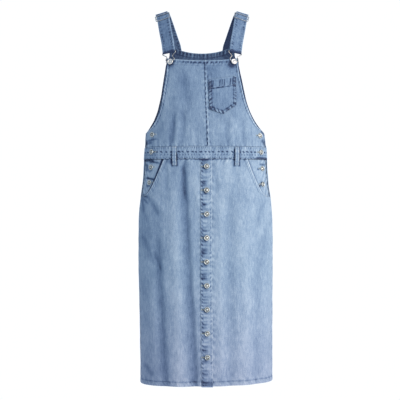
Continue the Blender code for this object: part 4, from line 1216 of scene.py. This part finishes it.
def hemAt(across):
    return skirt["hemCentre"] + skirt["hemRise"] * np.sin(across * math.pi / 2)


def mouthEdge(z):
    side = sideAlong(z) - seam / 2
    return np.where(z <= mouthEnd, side, np.minimum(pocketMouthWay(z), side))


def hemRelief(relief, run, fromHem, seed):
    relief.edge(fromHem, 0.0018, 0.0007, 0.10)
    relief.band(fromHem, skirt["hem"], 0.0006, 0.02)
    relief.puckers(run, fromHem - 0.0060, seed, 0.0045, 0.0065, 0.00030, 0.08, 0.8)
    relief.dashes(run, fromHem - 0.0125, seed + 2, 0.0090, 0.0018, -0.22, 0.4, 0.45)
    relief.puckers(run, fromHem - 0.0140, seed + 1, 0.0130, 0.0110, 0.00040, 0.09, 0.6)


def makeSkirtFront(side):
    start = skirt["standRight"] + seam if side > 0 else skirt["standLeft"] - seam
    seed = 100 + 10 * side

    def place(u, v):
        z = lerp(hemAt(side * u), skirt["top"], v)
        edgeHeight = lerp(hemAt(side), skirt["top"], v)
        return z, lerp(start, side * mouthEdge(edgeHeight), u)

    def lift(z, along):
        relief = Relief(z)
        reach = side * along
        fromStart = side * (along - start)
        across = np.clip(fromStart / (sideAlong(z) - abs(start)), 0, 1)
        fromHem = z - hemAt(side * across)
        hemRelief(relief, along, fromHem, seed)
        fromWaist = skirt["top"] - z
        relief.edge(fromWaist, 0.0016, 0.0005, -0.40)
        relief.puckers(along, fromWaist, seed + 3, 0.0075, 0.0110, 0.00055, 0.18)
        relief.add(hump(fromWaist, 0.0050) * hump(fromStart, 0.0160), 0.0, -0.35)
        relief.add(loopShade(z, along), 0.0, 1.0)
        relief.puckers(along, fromWaist, seed + 4, 0.0150, 0.0600, 0.00090, 0.08, 0.05)
        fromMouth = awayFrom(mouthEdge, z, reach)
        mouth = smoothStep((z - mouthEnd) / 0.004)
        relief.edge(fromMouth, 0.0020, 0.0007, 0.20)
        relief.add(mouth * (1 - smoothStep((fromMouth - 0.0090) / 0.0016)), 0.0006, 0.03)
        relief.add(mouth * hump(fromMouth - 0.0062, 0.0014), -0.0003, -0.10)
        relief.add(mouth * hump(fromMouth - 0.0108, 0.0014), -0.0003, -0.16)
        relief.puckers(z - reach, fromMouth - 0.0050, seed + 5, 0.0070, 0.0070, 0.00040, 0.13 * mouth + 0.04)
        if side < 0:
            gape = mouth * smoothStep((skirt["top"] - z) / 0.05) * hump(fromMouth, 0.0180)
            relief.add(gape, skirt["mouthLift"], 0.0)
        sideSeam = 1 - mouth
        relief.puckers(z, fromMouth, seed + 6, 0.0120, 0.0120, 0.00050 * sideSeam, 0.14 * sideSeam)
        relief.puckers(z, fromStart, seed + 7, 0.0110, 0.0090, 0.00040, 0.14)
        return relief

    columns, rows = gradedShares(0.250, skirt["step"]), gradedShares(0.695, skirt["step"])
    outer = makeDenim(sided("skirt", side), skirt["tone"][side], seed * 0.13)
    node = sided("skirt_front", side)
    addCloth(node, columns, rows, place, lift, outer)
    for off in (0.0018, 0.0082):
        sewUp(mouthEdge, lift, mouthEnd + 0.005, skirt["top"] - 0.001, side, off)
    ends = sorted((start + side * 0.008, side * skirt["hemAcross"]))

    def hemLine(along):
        across = np.clip(side * (along - start) / (sideAlong(-1.14) - abs(start)), 0, 1)
        return hemAt(side * across) + skirt["hem"] - 0.0010

    sewAcross(hemLine, lift, *ends)
    for z0 in (mouthEnd + 0.004, mouthEnd + 0.0052):
        tack = np.linspace(0.0, 0.009, 8)
        z = z0 + tack * 0.2
        sewing.row(z, side * (mouthEdge(z) - 0.0005 - tack), lift, pitch=0.0012, long=0.0020, wide=0.0008)


def makeSkirtBack():
    def edgeOf(z):
        return girth(z) - sideAlong(z) - seam / 2

    def place(u, v):
        across = 1 - 2 * u
        z = lerp(hemAt(across), skirt["top"], v)
        return z, fromBack(z, across * edgeOf(z))

    def lift(z, along):
        relief = Relief(z)
        signed = fromCentreBack(z, along)
        reach = np.abs(signed)
        across = np.clip(signed / edgeOf(z), -1, 1)
        hemRelief(relief, signed, z - hemAt(across), 131)
        fromWaist = skirt["top"] - z
        relief.edge(fromWaist, 0.0014, 0.0005, -0.20)
        relief.puckers(signed, fromWaist, 133, 0.0085, 0.0110, 0.00055, 0.18)
        relief.puckers(signed, fromWaist, 134, 0.0160, 0.0600, 0.00100, 0.08, 0.05)
        fromSide = edgeOf(z) - reach
        relief.edge(fromSide, 0.0014, 0.0005, -0.10)
        relief.puckers(z, fromSide, 135, 0.0130, 0.0120, 0.00050, 0.14)
        return relief

    columns, rows = gradedShares(0.640, skirt["backStep"]), gradedShares(0.695, skirt["backStep"])
    outer = makeDenim("skirt_back", 0.0, 17.3)
    addCloth("skirt_back", columns, rows, place, lift, outer, acrossOf=fromCentreBack)
    sewBehind(lambda across: hemAt(across / skirt["backHemAcross"]) + skirt["hem"] - 0.0010, lift, 0.250)


def makePocketBack(side):
    inner = frontWay(lambda z: skirt["pocketInner"])

    def place(u, v):
        z = lerp(skirt["pocketFoot"], skirt["top"], v)
        return z, side * lerp(inner(z), sideAlong(z) - seam / 2, u)

    def lift(z, along):
        relief = Relief(z, -cloth - underLayer)
        fromSide = awayFrom(sideAlong, z, side * along)
        relief.edge(fromSide, 0.0016, 0.0005, 0.22)
        relief.band(fromSide, 0.0080, 0.0004, 0.05)
        relief.puckers(z, fromSide - 0.006, 141 + side, 0.0075, 0.0080, 0.00050, 0.26)
        relief.puckers(z - side * along, fromSide - 0.025, 144 + side, 0.0140, 0.0160, 0.00050, 0.14)
        beyond = side * along - mouthEdge(z)
        # painted shadow of the mouth's edge on the pocket's back
        relief.add(1 - smoothStep((beyond - skirt["mouthGap"][side]) / 0.0022), 0.0, skirt["mouthShade"][side])
        return relief

    columns, rows = evenShares(0.130, 0.0022), evenShares(0.156, 0.0024)
    tone = skirt["pocketTone"][side]
    outer = makeDenim(sided("pocket_back", side), tone, 3.3 * side + 9)
    node = sided("pocket_back", side)
    addCloth(node, columns, rows, place, lift, outer)
    sewUp(sideAlong, lift, -0.570, -0.462, side, 0.0070)
    return lift


def makeSideStand(side):
    # strip under the side opening's front edge, deeper where it runs behind the pocket's back
    reaches, low, high = (-0.0480, 0.0140), -0.5760, -0.3770
    flat, deep = -cloth - underLayer, 2 * (-cloth - underLayer)

    def place(u, v):
        z = lerp(low, high, v)
        return z, side * (sideAlong(z) + lerp(*reaches, u))

    def lift(z, along):
        reach = side * along - sideAlong(z)
        depth = smoothStep((-0.4470 - z) / 0.010) * smoothStep((0.0060 - reach) / 0.0057)
        return Relief(z, lerp(flat, deep, depth))

    columns, rows = evenShares(0.062, 0.0028), evenShares(high - low, 0.0045)
    node = sided("side_stand", side)
    addCloth(node, columns, rows, place, lift, standDenim)


def makeFrontClosing():
    hem = float(hemAt(0))
    long = skirt["top"] - hem

    def strip(left, right, drop=0.0):
        return lambda u, v: (lerp(hem - drop, skirt["top"], v), lerp(left, right, u))

    place = strip(skirt["standLeft"], skirt["standRight"])
    columns, rows = evenShares(0.0316, 0.0040), evenShares(long, 0.0060)
    addCloth(
        "button_stand", columns, rows, place, lambda z, along: Relief(z), standDenim
    )

    def lift(z, along):
        relief = Relief(z, layer + skirt["bandShown"])
        fromLeft, fromRight = along - skirt["bandLeft"], skirt["bandRight"] - along
        relief.edge(fromLeft, 0.0016, 0.0004, 0.10)
        relief.edge(fromRight, 0.0018, 0.0008, 0.05)
        relief.puckers(z, fromRight - 0.0030, 151, 0.0070, 0.0055, 0.00045, 0.14)
        relief.dashes(z, fromRight - 0.0048, 156, 0.0065, 0.0016, -0.26)
        relief.dashes(z, fromLeft - 0.0040, 152, 0.0060, 0.0034, -0.50, 0.7, 0.5)
        relief.add(roughWave(z + 0.25 * along, 0.0110, 153), 0.0004, 0.07)
        leftHalf = 1 - smoothStep((along - buttons["frontX"] + 0.002) / 0.006)
        relief.puckers(z, np.zeros(np.shape(z)), 154, 0.0060, 0.01, 0.0002, 0.05 + 0.11 * leftHalf)
        relief.add(leftHalf, 0.0, -0.04)
        relief.add(hump(skirt["top"] - z, 0.0070) * hump(along, 0.0135), 0.0, -0.85)
        random = np.random.default_rng(157)
        for number in range(buttons["frontCount"] + 1):
            middle = buttons["frontTop"] - number * buttons["frontPitch"]
            right, up = along - buttons["frontX"], z - middle
            if number < buttons["frontCount"]:  # painted shadow of the button on its lower left, where the cloth is pulled in, and painted shade beside its buttonhole
                relief.add(hump(np.hypot(right + 0.0040, up + 0.0048), 0.0068), -0.0003, -0.62)
                relief.add(hump(np.hypot((right + 0.012) / 1.6, up - 0.0030), 0.0026), -0.0002, -0.40)
            size, lift, shade = random.uniform((0.8, 0.020, 0.14), (1.2, 0.030, 0.52))
            patch = hump(right + 0.0080, 0.0090 * size) * hump(up - lift, 0.0095 * size)
            relief.add(patch * (1 + 0.4 * roughWave(z, 0.0045, 158)), -0.0003, -shade)
        fromHem = z - hem + skirt["bandDrop"]
        relief.edge(fromHem, 0.0018, 0.0007, 0.10)
        relief.add(hump(fromHem - 0.012, 0.010), 0.0, -0.40)
        return relief

    place = strip(skirt["bandLeft"], skirt["bandRight"], skirt["bandDrop"])
    columns, rows = gradedShares(0.0350, 0.0015), gradedShares(long, 0.0021)
    outer = makeDenim("button_band", skirt["bandTone"], 6.1)
    addCloth("button_band", columns, rows, place, lift, outer, thickness=skirt["bandShown"])
    for off in (skirt["bandLeft"] + 0.0022, skirt["bandRight"] - 0.0022):
        sewUp(lambda z: off + 0 * z, lift, hem + 0.003, skirt["top"] - 0.002)
    return lift


buttons = {
    "radius": 0.0085, "bibRadius": 0.0090, "capHeight": 0.0027, "shank": 0.0023, "gap": 0.0004,
    "frontX": 0.0030, "frontTop": -0.4825, "frontPitch": 0.0726, "frontCount": 9,
    "sides": (  # half width and height on the left, the same on the right, distance out of its cloth
        ((0.1638, -0.3826), (0.1690, -0.3853), 0.0),
        ((0.1666, -0.4363), (0.1710, -0.4372), 0.0011),
        ((0.1709, -0.4837), (0.1779, -0.4874), -0.0027),
        ((0.1755, -0.5304), (0.1790, -0.5360), -0.0027),
    ),
    "bibX": 0.0968, "bibZ": -0.1610, "wireOut": 0.0019,
    "profile": (  # share of the radius, share of the cap's height, whether it has aged darker
        (0.94, 0.00, 0), (0.985, 0.12, 0), (1.00, 0.35, 0), (0.985, 0.62, 0), (0.93, 0.85, 0), (0.87, 0.97, 0),
        (0.80, 1.00, 0), (0.735, 0.95, 0), (0.69, 0.80, 0), (0.655, 0.64, 1), (0.60, 0.58, 1), (0.50, 0.60, 1),
        (0.42, 0.66, 1), (0.36, 0.80, 0), (0.28, 0.92, 0), (0.18, 0.97, 0), (0.08, 0.99, 1), (0.0, 1.00, 1),
    ),
    "turnSteps": 40, "tilt": 0.10, "holeLength": 0.0175, "holeStart": 0.0035,
    "shankEnd": (-0.0023, -0.0050),  # height of the foot on the bodice's or waist's stand, on the pocket's back
}

standDenim = makeDenim("stand", -0.10, 12.9)
makeSkirtBack()
for side in (-1, 1):
    makeSkirtFront(side)
pocketLifts = {side: makePocketBack(side) for side in (-1, 1)}
for side in (-1, 1):
    makeSideStand(side)
closingLift = makeFrontClosing()
print("skirt sewn")


# Buttons and buttonholes


def placing(across, up, normal, origin):
    return Matrix([(*axis, 0) for axis in (across, up, normal)] + [(*origin, 1)]).transposed()


def clothFrame(z, along):
    # frame on the main cloth: X to the right, Y up the cloth, Z out of it
    reach = buttons["radius"]
    places = clothPoints(np.array([z, z + reach, z - reach, z, z]), along + np.array([0, 0, 0, reach, -reach]))[0]
    origin, high, low, right, left = (Vector(place) for place in places)
    up = (high - low).normalized()
    normal = (right - left).cross(up).normalized()
    return placing(up.cross(normal), up, normal, origin)


def makeButton(node, place, radius, capUnder, foot, random, plating="cap", dish="aged"):
    # turned cap with a raised rim round a darker dished ring and a boss, on its shank
    shape = bmesh.new()
    outline = [(0.0, foot), (buttons["shank"], foot), (buttons["shank"], capUnder)]
    outline += [
        (radius * share, capUnder + buttons["capHeight"] * rise) for share, rise, isAged in buttons["profile"]
    ]
    verts = [shape.verts.new((x, 0.0, z)) for x, z in outline]
    edges = [shape.edges.new(pair) for pair in zip(verts, verts[1:])]
    bmesh.ops.spin(
        shape, geom=verts + edges, cent=(0, 0, 0), axis=(0, 0, 1), angle=math.tau,
        steps=buttons["turnSteps"], use_merge=True,
    )
    bmesh.ops.remove_doubles(shape, verts=shape.verts, dist=1e-6)
    bmesh.ops.recalc_face_normals(shape, faces=shape.faces)
    agedFrom = {round(radius * share, 6) for share, rise, isAged in buttons["profile"] if isAged}
    for face in shape.faces:
        reach = max(round(math.hypot(vert.co.x, vert.co.y), 6) for vert in face.verts)
        high = face.calc_center_median().z > capUnder + buttons["capHeight"] * 0.3
        face.material_index = 1 if high and reach in agedFrom else 0
    tilt = Matrix.Rotation(random.normal() * buttons["tilt"], 4, "X")
    tilt = tilt @ Matrix.Rotation(random.normal() * buttons["tilt"], 4, "Y")
    pivot = Matrix.Translation((0, 0, capUnder))
    turned = place @ pivot @ tilt @ Matrix.Rotation(random.uniform(0, math.tau), 4, "Z") @ pivot.inverted()
    bmesh.ops.transform(shape, matrix=turned, verts=shape.verts)
    mesh = meshOf("cap_" + node, shape)
    addPiece("cap_" + node, mesh, [nickel[plating], nickel[dish]], [node])


def sewButtonhole(z, along, lift, toward):
    # worked slot that runs from the shank towards its outer end: two rows of satin stitches,
    # a bar at each end and the dark slit between them
    near = along - toward * buttons["holeStart"]
    far = along + toward * buttons["holeLength"]
    slot = np.linspace(near, far, 29)
    for height in (-0.0014, 0.0014):
        for spot in slot:
            pair = np.array([z + height - 0.0007, z + height + 0.0007])
            creamSewing.row(pair, np.array([spot, spot]), lift, pitch=0.0014, long=0.0020, wide=0.00070)
    for end in (near, far):
        for shift in (-0.0004, 0.0004):
            bar = np.linspace(z - 0.0022, z + 0.0022, 4)
            creamSewing.row(bar, np.full(4, end + shift), lift, pitch=0.0044, long=0.0048, wide=0.0009)
    slit = np.linspace(near, far, 4)
    slits.row(np.full(4, z), slit, lift, pitch=abs(far - near), long=abs(far - near), wide=0.0014, out=0.0002)


def makeButtons():
    random = np.random.default_rng(31)
    bandFace = layer + skirt["bandCloth"]
    for number in range(buttons["frontCount"]):
        z = buttons["frontTop"] - number * buttons["frontPitch"]
        place = clothFrame(z, buttons["frontX"])
        node = f"front_button_{number + 1}"
        makeButton(node, place, buttons["radius"], bandFace + buttons["gap"], buttons["gap"], random)
        sewButtonhole(z, buttons["frontX"], closingLift, -1)
    for side in (-1, 1):
        lifts = (bibLifts[side], waistLift, pocketLifts[side], pocketLifts[side])
        for number, ((leftSpot, rightSpot, out), lift) in enumerate(zip(buttons["sides"], lifts), start=1):
            x, z = rightSpot if side > 0 else leftSpot
            along = side * float(frontWay(lambda height: x)(z))
            node = sided("side_button", side) + f"_{number}"
            foot = buttons["shankEnd"][number > 2]
            place = clothFrame(z, along)
            makeButton(node, place, buttons["radius"], out + buttons["gap"], foot, random)
            sewButtonhole(z, along, lift, -side)
    creamSewing.finish("thread_buttonholes", creamThread)
    slits.finish("buttonhole_slits", slitShade)


makeButtons()
print("buttons set")

# Straps, buckles and sliders
strap = {
    "width": 0.0380, "cloth": 0.0022, "slope": math.radians(17.0), "sewn": 0.0250,
    "backX": 0.0868, "backLean": 0.2, "backGap": 0.0008, "squaring": 0.0600,
    "way": (  # from just above the back bib, over the crest, to just above the buckle
        (0.0974, 0.0755, -0.0620), (0.1104, 0.0600, -0.0260), (0.1200, 0.0370, -0.0030),
        (0.1280, 0.0080, 0.0036), (0.1255, -0.0220, -0.0040), (0.1200, -0.0480, -0.0270),
        (0.1138, -0.0670, -0.0620), (0.1070, -0.0800, -0.0980),
    ),
    "steps": 14, "turnSteps": 10, "columnStep": 0.0019,
    "tailNear": 0.0028, "tailClosing": 0.25, "tailClosed": 0.78,
    "inset": 0.0034,  # from the edge to its stitches
    # the straps' undersides are painted darker as shade, the right one much darker
    "tone": {-1: -0.23, 1: -0.21}, "underShade": {-1: -0.38, 1: -1.15},
}
buckle = {
    "barUp": 0.0318, "foot": 0.0368, "radius": 0.00125, "gap": 0.00035,
    "bends": (  # right half of the wire: across, down from the bar
        (0.0206, 0.0000), (0.0210, 0.0034), (0.0196, 0.0062), (0.0138, 0.0104), (0.0098, 0.0136),
        (0.0095, 0.0170), (0.0122, 0.0205), (0.0134, 0.0242), (0.0120, 0.0282), (0.0078, 0.0312),
        (0.0052, 0.0338), (0.0024, 0.0362),
    ),
}
slider = {"down": 0.0370, "height": 0.0290, "halfWidth": 0.0240, "rail": 0.0026}
turnRadius = buckle["radius"] + buckle["gap"] + strap["cloth"] / 2


def buckleFrame():
    z = buttons["bibZ"]
    along = float(frontWay(lambda height: buttons["bibX"] - float(centreAt(z)))(z))
    points, normals, _ = clothPoints(np.array([z]), np.array([along]), buttons["wireOut"])
    origin, normal = Vector(points[0]), Vector(normals[0])
    up = (Vector(strap["way"][-1]) - origin).normalized()
    normal = (normal - up * normal.dot(up)).normalized()
    return placing(up.cross(normal).normalized(), up, normal, origin)


def smoothWay(points, steps):
    way = []
    for i in range(len(points) - 1):
        start, end = points[i], points[i + 1]
        leave = (end - points[max(i - 1, 0)]) / 2
        arrive = (points[min(i + 2, len(points) - 1)] - start) / 2
        way.extend(glide(start, end, leave, arrive, step / steps) for step in range(steps))
    return [*way, points[-1].copy()]


def strapStations(place):
    # place, direction across and direction out of the right strap's run, from behind to the bar
    up, buckleNormal = place.col[1].xyz, place.col[2].xyz
    top, sewn = bodice["backTopSide"], strap["sewn"]
    backPoints = []
    for z in (top - sewn, top - sewn / 2, top):
        wide = strap["backX"] - (top - z) * strap["backLean"]
        along = fromBack(z, float(backWay(lambda height: wide)(z)))
        out = strap["backGap"] + strap["cloth"] / 2
        backPoints.append(Vector(clothPoints(np.array([z]), np.array([along]), out)[0][0]))
    bar = place @ Vector((0.0, buckle["barUp"], turnRadius))
    way = smoothWay([*backPoints, *(Vector(spot) for spot in strap["way"]), bar], strap["steps"])
    stations = []
    for i, spot in enumerate(way):
        down = (way[min(i + 1, len(way) - 1)] - way[max(i - 1, 0)]).normalized()
        flat = Vector((0.0, down.z, -down.y)).normalized()
        level = flat.cross(down).normalized()
        normal = (flat * math.cos(strap["slope"]) + level * math.sin(strap["slope"])).normalized()
        squared = float(smoothStep(1 - (bar - spot).length / strap["squaring"]))
        down = down.lerp(-up, squared).normalized()
        normal = normal.lerp(buckleNormal, squared)
        normal = (normal - down * normal.dot(down)).normalized()
        stations.append((spot, normal.cross(down).normalized(), normal, down))
    return stations


def tailGap(share):
    near = min(share, strap["tailClosed"] - share) / strap["tailClosing"]
    return lerp(2 * turnRadius, strap["tailNear"], float(smoothStep(near)))


def makeStrap(side, stations, lengths, sliderTop):
    crestRun = sliderTop + slider["down"]
    rows = [(spot, across, normal, length) for (spot, across, normal, down), length in zip(stations, lengths)]
    spot, across, normal, down = stations[-1]
    bar = spot - normal * turnRadius
    for step in range(1, strap["turnSteps"]):
        turn = step / strap["turnSteps"] * math.pi
        ray = normal * math.cos(turn) + down * math.sin(turn)
        rows.append((bar + ray * turnRadius, across, ray, -turn * turnRadius))
    tailEnd = sliderTop + strap["cloth"]
    for (spot, across, normal, down), length in zip(reversed(stations), reversed(lengths)):
        if length > tailEnd:
            break
        gap = tailGap(length / tailEnd)
        rows.append((spot - normal * gap, across, -normal, -0.01 - length))
    spots, acrosses, normals, runs = (np.array([row[i] for row in rows]) for i in range(4))
    main = np.arange(len(rows)) < len(stations)
    seed = 170 + side

    def lift(share, index):
        # relief of the strap: rounded stitched edges, and the way it weaves through the slider
        run = runs[index]
        relief = Relief(run)
        off = strap["width"] / 2 - np.abs(share - 0.5) * strap["width"]
        relief.edge(off, 0.0013, 0.0005, 0.16)
        relief.puckers(run, off - 0.0030, seed, 0.0045, 0.0040, 0.00030, 0.16, 0.2)
        relief.dashes(run, off - 0.0062, seed + 3, 0.0046, 0.0030, -0.30, 0.3, 0.5)
        relief.add(ripples(run * 0.8, share * 0.038, 0.011, seed + 4), 0.0, 0.04)
        # painted shade where the strap turns over the shoulder's crest, and round the buckle's bar
        relief.add(np.where(main[index], hump(run - crestRun + 0.002, 0.0110), 0), 0.0, -0.75)
        relief.add(hump(run + 0.003, 0.004), 0.0, -0.45)
        fromTop = sliderTop - run
        half = slider["rail"] / 2
        # painted shade where the strap dips under the slider's rails, painted light where it rides over the
        # middle bar
        for middle, dip in ((half, -0.0021), (slider["height"] - half, -0.0021), (slider["height"] / 2, 0.0009)):
            relief.add(np.where(main[index], hump(fromTop - middle, 0.0030), 0), dip, dip * 60)
        # painted shade just above the buckle's bar
        relief.add(hump(run - 0.002, 0.004), 0.0, -0.14)
        return relief

    columns, rowShares = gradedShares(strap["width"], strap["columnStep"]), np.linspace(0, 1, len(rows))
    mesh, u, v = gridMesh(sided("cloth_strap", side), columns, rowShares)
    index = np.rint(v * (len(rows) - 1)).astype(int)
    relief = lift(u, index)

    def placed(share, index, height):
        points = spots[index] + acrosses[index] * ((share - 0.5) * strap["width"])[:, None]
        points = points + normals[index] * height[:, None]
        return points * (side, 1, 1), normals[index] * (side, 1, 1)

    points, outward = placed(u, index, relief.height)
    lengthAt = runLengths(spots)
    cut = np.stack([(u - 0.5) * strap["width"], lengthAt[index]], axis=1)
    layOut(mesh, points, outward, cut, relief.wash)
    outer = makeDenim(sided("strap", side), strap["tone"][side], seed * 0.21)
    node = sided("strap", side)
    # underside material, painted darker as shade
    under = makeDenim(sided("strap_under_painted_shade", side), strap["underShade"][side], 21.7)
    piece = thicken(addPiece("cloth_" + node, mesh, [outer, under], [node]), strap["cloth"], 0.0)

    def sewOn(shares, index):
        face = strap["cloth"] / 2 + threadOut
        sewing.run(*placed(shares, index, lift(shares, index).height + face))

    inset = strap["inset"] / strap["width"]
    for share in (inset, 1 - inset):
        sewOn(np.full(len(stations), share), np.arange(len(stations)))
    lowest, highest = 2, 2 * strap["steps"] - 3  # rows of the crossed square sewn on to the back bib
    for at in (lowest, highest):
        sewOn(np.linspace(0.10, 0.90, 20), np.full(20, at))
    index = np.arange(lowest, highest + 1)
    for start, end in ((0.1, 0.9), (0.9, 0.1)):
        sewOn(np.linspace(start, end, len(index)), index)


def stationAt(stations, lengths, length):
    low = next(i for i in range(len(lengths) - 1) if lengths[i + 1] <= length)
    share = (lengths[low] - length) / (lengths[low] - lengths[low + 1])
    return [lerp(a, b, share) for a, b in zip(stations[low], stations[low + 1])]


def wireMesh(name, tracks, radius, side):
    # round wire along each track, a list of points that closes on itself or not
    mesh = bmesh.new()
    for points, closed in tracks:
        data = bpy.data.curves.new(name, "CURVE")
        data.dimensions = "3D"
        data.bevel_depth = radius
        data.bevel_resolution = 4
        data.use_fill_caps = True
        spline = data.splines.new("POLY")
        spline.points.add(len(points) - 1)
        spline.use_cyclic_u = closed
        for spot, point in zip(spline.points, points):
            spot.co = (side * point.x, point.y, point.z, 1.0)
        made = meshMadeBy(addObject(name, data))
        mesh.from_mesh(made)
        bpy.data.meshes.remove(made)
    bmesh.ops.remove_doubles(mesh, verts=mesh.verts, dist=1e-6)
    bmesh.ops.recalc_face_normals(mesh, faces=mesh.faces)
    return meshOf(name, mesh)


def makeSlider(side, stations, lengths, sliderTop):
    # wire frame round the strap: its rails pass in front, its middle bar behind the strap
    half, rail, tall = slider["halfWidth"], slider["rail"], slider["height"]

    def at(across, down, out):
        spot, over, normal = stationAt(stations, lengths, sliderTop - down)[:3]
        return spot + over * across + normal * out

    reach, corner = half - rail / 2, 0.0020
    ring = []
    for sideX, isLow, start in ((1, 0, 0), (1, 1, 1), (-1, 1, 2), (-1, 0, 3)):
        middleX = sideX * (reach - corner)
        middleY = tall - rail / 2 - corner if isLow else rail / 2 + corner
        for step in range(5):
            angle = (start - 1 + step / 4) * math.pi / 2
            ring.append((middleX + corner * math.cos(angle), middleY + corner * math.sin(angle)))
    track = []
    for (x0, y0), (x1, y1) in zip(ring, ring[1:] + ring[:1]):
        pieces = max(int(math.hypot(x1 - x0, y1 - y0) / 0.0030), 1)
        for step in range(pieces):
            track.append(at(lerp(x0, x1, step / pieces), lerp(y0, y1, step / pieces), 0.0008))
    bar = []
    for step in range(21):
        across = lerp(-reach, reach, step / 20)
        behind = float(smoothStep((reach - abs(across)) / 0.004))
        bar.append(at(across, tall / 2, lerp(0.0008, -0.0024, behind)))
    node = sided("strap_slider", side)
    mesh = wireMesh("frame_" + node, [(track, True), (bar, False)], rail / 2, side)
    addPiece("frame_" + node, mesh, [nickel["rail"]], [node])


def makeBuckle(side, place):
    right = [Vector((across, buckle["barUp"] - down, 0.0)) for across, down in buckle["bends"]]
    foot = Vector((0.0, buckle["barUp"] - buckle["foot"], 0.0))
    left = [Vector((-point.x, point.y, 0.0)) for point in reversed(right)]
    points = [place @ point for point in smoothWay([*right, foot, *left], 5)]
    node = sided("buckle", side)
    mesh = wireMesh("wire_" + node, [(points, True)], buckle["radius"], side)
    addPiece("wire_" + node, mesh, [nickel["wire"]], [node])


def makeShoulderParts():
    place = buckleFrame()
    stations = strapStations(place)
    lengths = [0.0]
    for upper, lower in zip(reversed(stations[:-1]), reversed(stations[1:])):
        lengths.append(lengths[-1] + (upper[0] - lower[0]).length)
    lengths.reverse()
    crest = max(range(len(stations)), key=lambda i: stations[i][0].z)
    sliderTop = lengths[crest] - slider["down"]
    random = np.random.default_rng(47)
    mirror = Matrix.Diagonal((-1, 1, 1, 1))
    for side in (-1, 1):
        makeStrap(side, stations, lengths, sliderTop)
        makeSlider(side, stations, lengths, sliderTop)
        makeBuckle(side, place)
        under, foot = buckle["radius"] + buttons["gap"], buttons["gap"] - buttons["wireOut"]
        spot = place if side > 0 else mirror @ place @ mirror
        node = sided("bib_button", side)
        dish = "bright" if side > 0 else "cap"
        makeButton(node, spot, buttons["bibRadius"], under, foot, random, "bright", dish)


makeShoulderParts()
sewing.finish("thread_seams", seamThread)
print("straps and buckles set,", len(sewing.places), "stitches")

# Floor, light and camera
studio = {
    "floorDrop": 0.40, "floorRadius": 1.6, "floorColour": (0.86, 0.86, 0.86),
    "world": 1.0,
    "keyPower": 420.0, "keySize": 2.6, "keyDistance": 5.0, "keyTurn": 50.0, "keyRise": 14.0,
    "keyColour": (1.0, 0.80, 0.62), "worldColour": (1.0, 1.03, 1.07, 1.0),
    "eye": (-0.0064, -3.5, -0.585), "frameHeight": 1.26,
}


def makeStudio():
    shape = bmesh.new()
    bmesh.ops.create_circle(shape, cap_ends=True, segments=96, radius=studio["floorRadius"])
    bmesh.ops.translate(shape, vec=(0, 0, cadBox[0][2] - studio["floorDrop"]), verts=shape.verts)
    floor = addObject("floor", meshOf("floor", shape))
    finish = Finish("studio_floor", roughness=0.8, specular=0.2)
    place = finish.node("ShaderNodeTexCoord", {}, {}, "Object")
    finish.set("Base Color", (*studio["floorColour"], 1.0))
    finish.relief(finish.noise(place, (0.02, 0.02, 0.02), 2.0), 0.0004)
    floor.data.materials.append(finish.material)

    world = bpy.data.worlds.new("studio")
    world.use_nodes = True
    backdrop = world.node_tree.nodes["Background"]
    backdrop.inputs["Color"].default_value = studio["worldColour"]
    backdrop.inputs["Strength"].default_value = studio["world"]
    scene.world = world
    scene.view_settings.view_transform = "Standard"
    scene.view_settings.look = "None"

    middle = Vector((0.0, 0.0, studio["eye"][2]))
    turn, rise = math.radians(studio["keyTurn"]), math.radians(studio["keyRise"])
    toward = Vector((math.sin(turn) * math.cos(rise), -math.cos(turn) * math.cos(rise), math.sin(rise)))
    light = bpy.data.lights.new("key", "AREA")
    light.energy = studio["keyPower"]
    light.size = studio["keySize"]
    light.color = studio["keyColour"]
    key = addObject("key", light)
    key.location = middle + toward * studio["keyDistance"]
    key.rotation_euler = toward.to_track_quat("Z", "Y").to_euler()

    lens = bpy.data.cameras.new("camera")
    lens.sensor_fit = "VERTICAL"
    lens.sensor_height = 36.0
    lens.lens = lens.sensor_height * abs(studio["eye"][1]) / studio["frameHeight"]
    camera = addObject("camera", lens)
    camera.location = studio["eye"]
    camera.rotation_euler = (math.pi / 2, 0, 0)
    scene.camera = camera


makeStudio()
bpy.context.view_layer.update()
print("studio ready")
